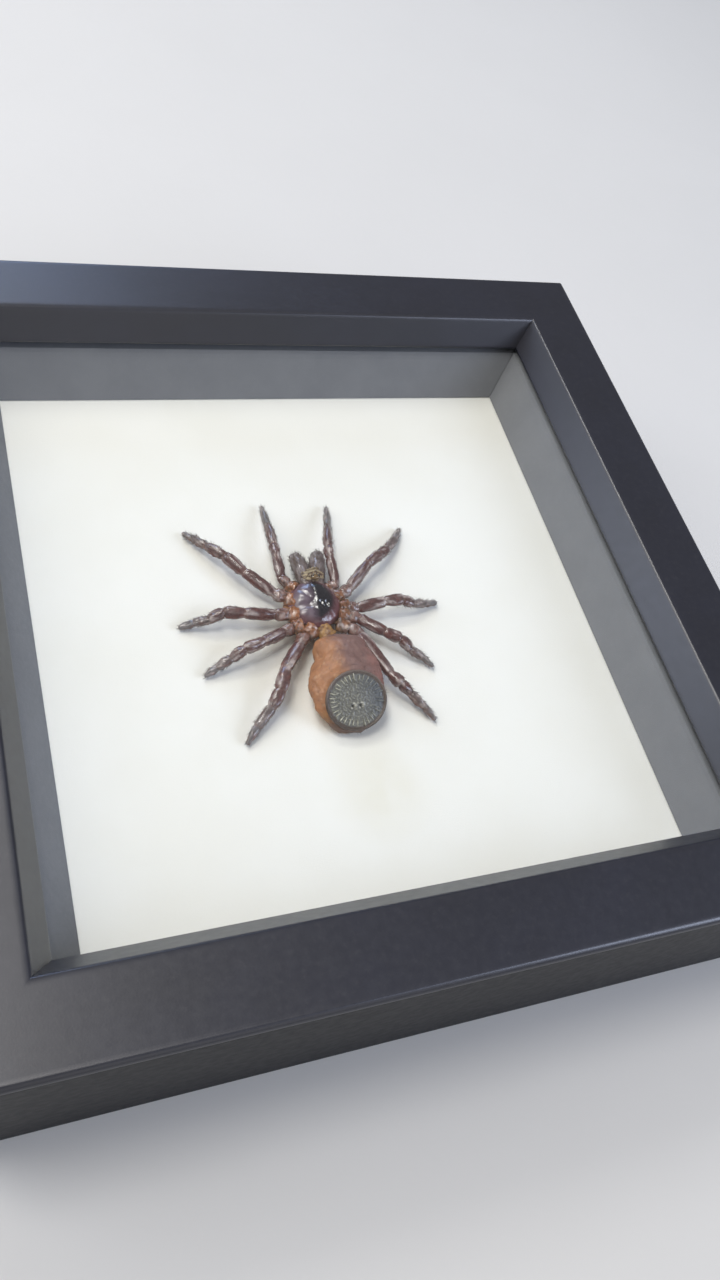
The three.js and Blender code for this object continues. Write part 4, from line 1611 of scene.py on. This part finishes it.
@dataclass
class GlueDab:
    """The flattened drop of glue that holds the spider."""

    radius: float = 2.2
    low: float = 0.2
    high: float = 1.0

    def build(self) -> None:
        """Makes the drop, with a spread foot and an uneven outline."""
        top = ((0.5, self.high), (0.72, self.high * 0.95))
        rows = (*top, (0.86, 0.8), (0.95, 0.5), (1.0, 0.3), (0.97, self.low))
        turn = around(40)
        wave = 1 - 0.05 * (1 + np.sin(3 * turn + 0.7)) - 0.02 * (1 + np.sin(7 * turn))
        x, y = np.cos(turn) * wave, np.sin(turn) * wave
        rings = [np.stack([x * r * self.radius, y * r * self.radius, 0 * turn + z], 1) for r, z in rows]
        drop = skin("glue_drop", [Shell.plain(np.array(rings), shade("d9c998"), 0.2)], SPIDER_AT)
        finished(drop, Finishes.glue, ["glue_dab"])


# The room


@dataclass(frozen=True)
class Lamp:
    """A soft square lamp: its place and width in metres, its power in watts and its colour."""

    name: str
    at: Point
    size: float
    power: float
    tint: Colour

    def hang(self, aim: Point) -> None:
        """Adds the lamp to the scene, looking at a point."""
        data = bpy.data.lights.new(self.name, "AREA")
        data.shape = "SQUARE"
        data.size = self.size
        data.energy = self.power
        data.color = self.tint
        lamp = bpy.data.objects.new(self.name, data)
        lamp.location = self.at
        lamp.rotation_euler = (Vector(aim) - Vector(self.at)).to_track_quat("-Z", "Y").to_euler()
        bpy.context.scene.collection.objects.link(lamp)


LAMPS = (
    Lamp("overhead", (-0.66, 0.20, 0.85), 0.85, 4.2, (1.0, 0.965, 0.925)),
    Lamp("near_glow", (-0.31, 0.10, 0.89), 0.26, 2.8, (1.0, 0.975, 0.955)),
    Lamp("right_fill", (0.62, -0.40, 0.50), 0.4, 3.6, (0.7, 0.78, 1.0)),
    Lamp("key", (-0.17, 0.46, 0.66), 0.2, 1.5, (1.0, 0.98, 0.94)),
    Lamp("cool_back", (-0.08, 1.25, 0.70), 0.45, 3.6, (0.42, 0.6, 1.0)),
    Lamp("cool_side", (-0.85, 0.40, 0.26), 0.4, 1.7, (0.74, 0.82, 1.0)),
    Lamp("front_fill", (0.05, -0.90, 0.50), 0.6, 0.7, (1.0, 0.98, 0.96)),
)


@dataclass
class Studio:
    """Floor, soft lights and the camera at the photograph's viewing angle."""

    camera_at: Point = (-69.80, -100.71, 184.59)
    camera_right: Point = (0.9250, -0.2676, 0.2697)
    camera_up: Point = (0.0909, 0.8451, 0.5268)
    camera_back: Point = (-0.3689, -0.4628, 0.8061)
    lens: float = 29.4914
    floor_size: float = 4.0
    lamps_aim: Point = (0.0, 0.0, 0.02)
    sky: tuple[float, float, float, float] = (0.96, 0.97, 1.0, 1.0)
    sky_strength: float = 0.2

    def camera(self) -> None:
        """Sets the camera."""
        data = bpy.data.cameras.new("camera")
        data.lens = self.lens
        data.sensor_width = 36.0
        data.sensor_fit = "AUTO"
        data.clip_start = 0.005
        data.clip_end = 50.0
        camera = bpy.data.objects.new("camera", data)
        axes = Matrix((self.camera_right, self.camera_up, self.camera_back)).transposed()
        camera.matrix_world = Matrix.Translation(Vector(self.camera_at) * MM) @ axes.to_4x4()
        bpy.context.scene.collection.objects.link(camera)
        bpy.context.scene.camera = camera

    def build(self) -> None:
        """Makes the floor, the lights and the camera."""
        half = self.floor_size / 2
        mesh = bpy.data.meshes.new("floor")
        corners = [(-half, -half, 0), (half, -half, 0), (half, half, 0), (-half, half, 0)]
        mesh.from_pydata(corners, [], [(0, 1, 2, 3)])
        floor = to_object("floor", mesh)
        mesh.materials.append(Finishes.get(Finishes.floor))
        world = bpy.data.worlds.new("soft_room")
        world.use_nodes = True
        sky = world.node_tree.nodes["Background"].inputs
        sky["Color"].default_value = self.sky
        sky["Strength"].default_value = self.sky_strength
        bpy.context.scene.world = world
        for lamp in LAMPS:
            lamp.hang(self.lamps_aim)
        bpy.context.scene.view_settings.view_transform = "Standard"
        self.camera()


def main() -> None:
    """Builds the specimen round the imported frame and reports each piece."""
    logging.basicConfig(level=logging.INFO, format="%(message)s")
    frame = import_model()
    nodes = frame["nodes"]
    Studio().build()
    ShadowBox().build(nodes)
    BackFittings().build(nodes)
    Spider().build()
    GlueDab().build()


if __name__ == "__main__":
    main()
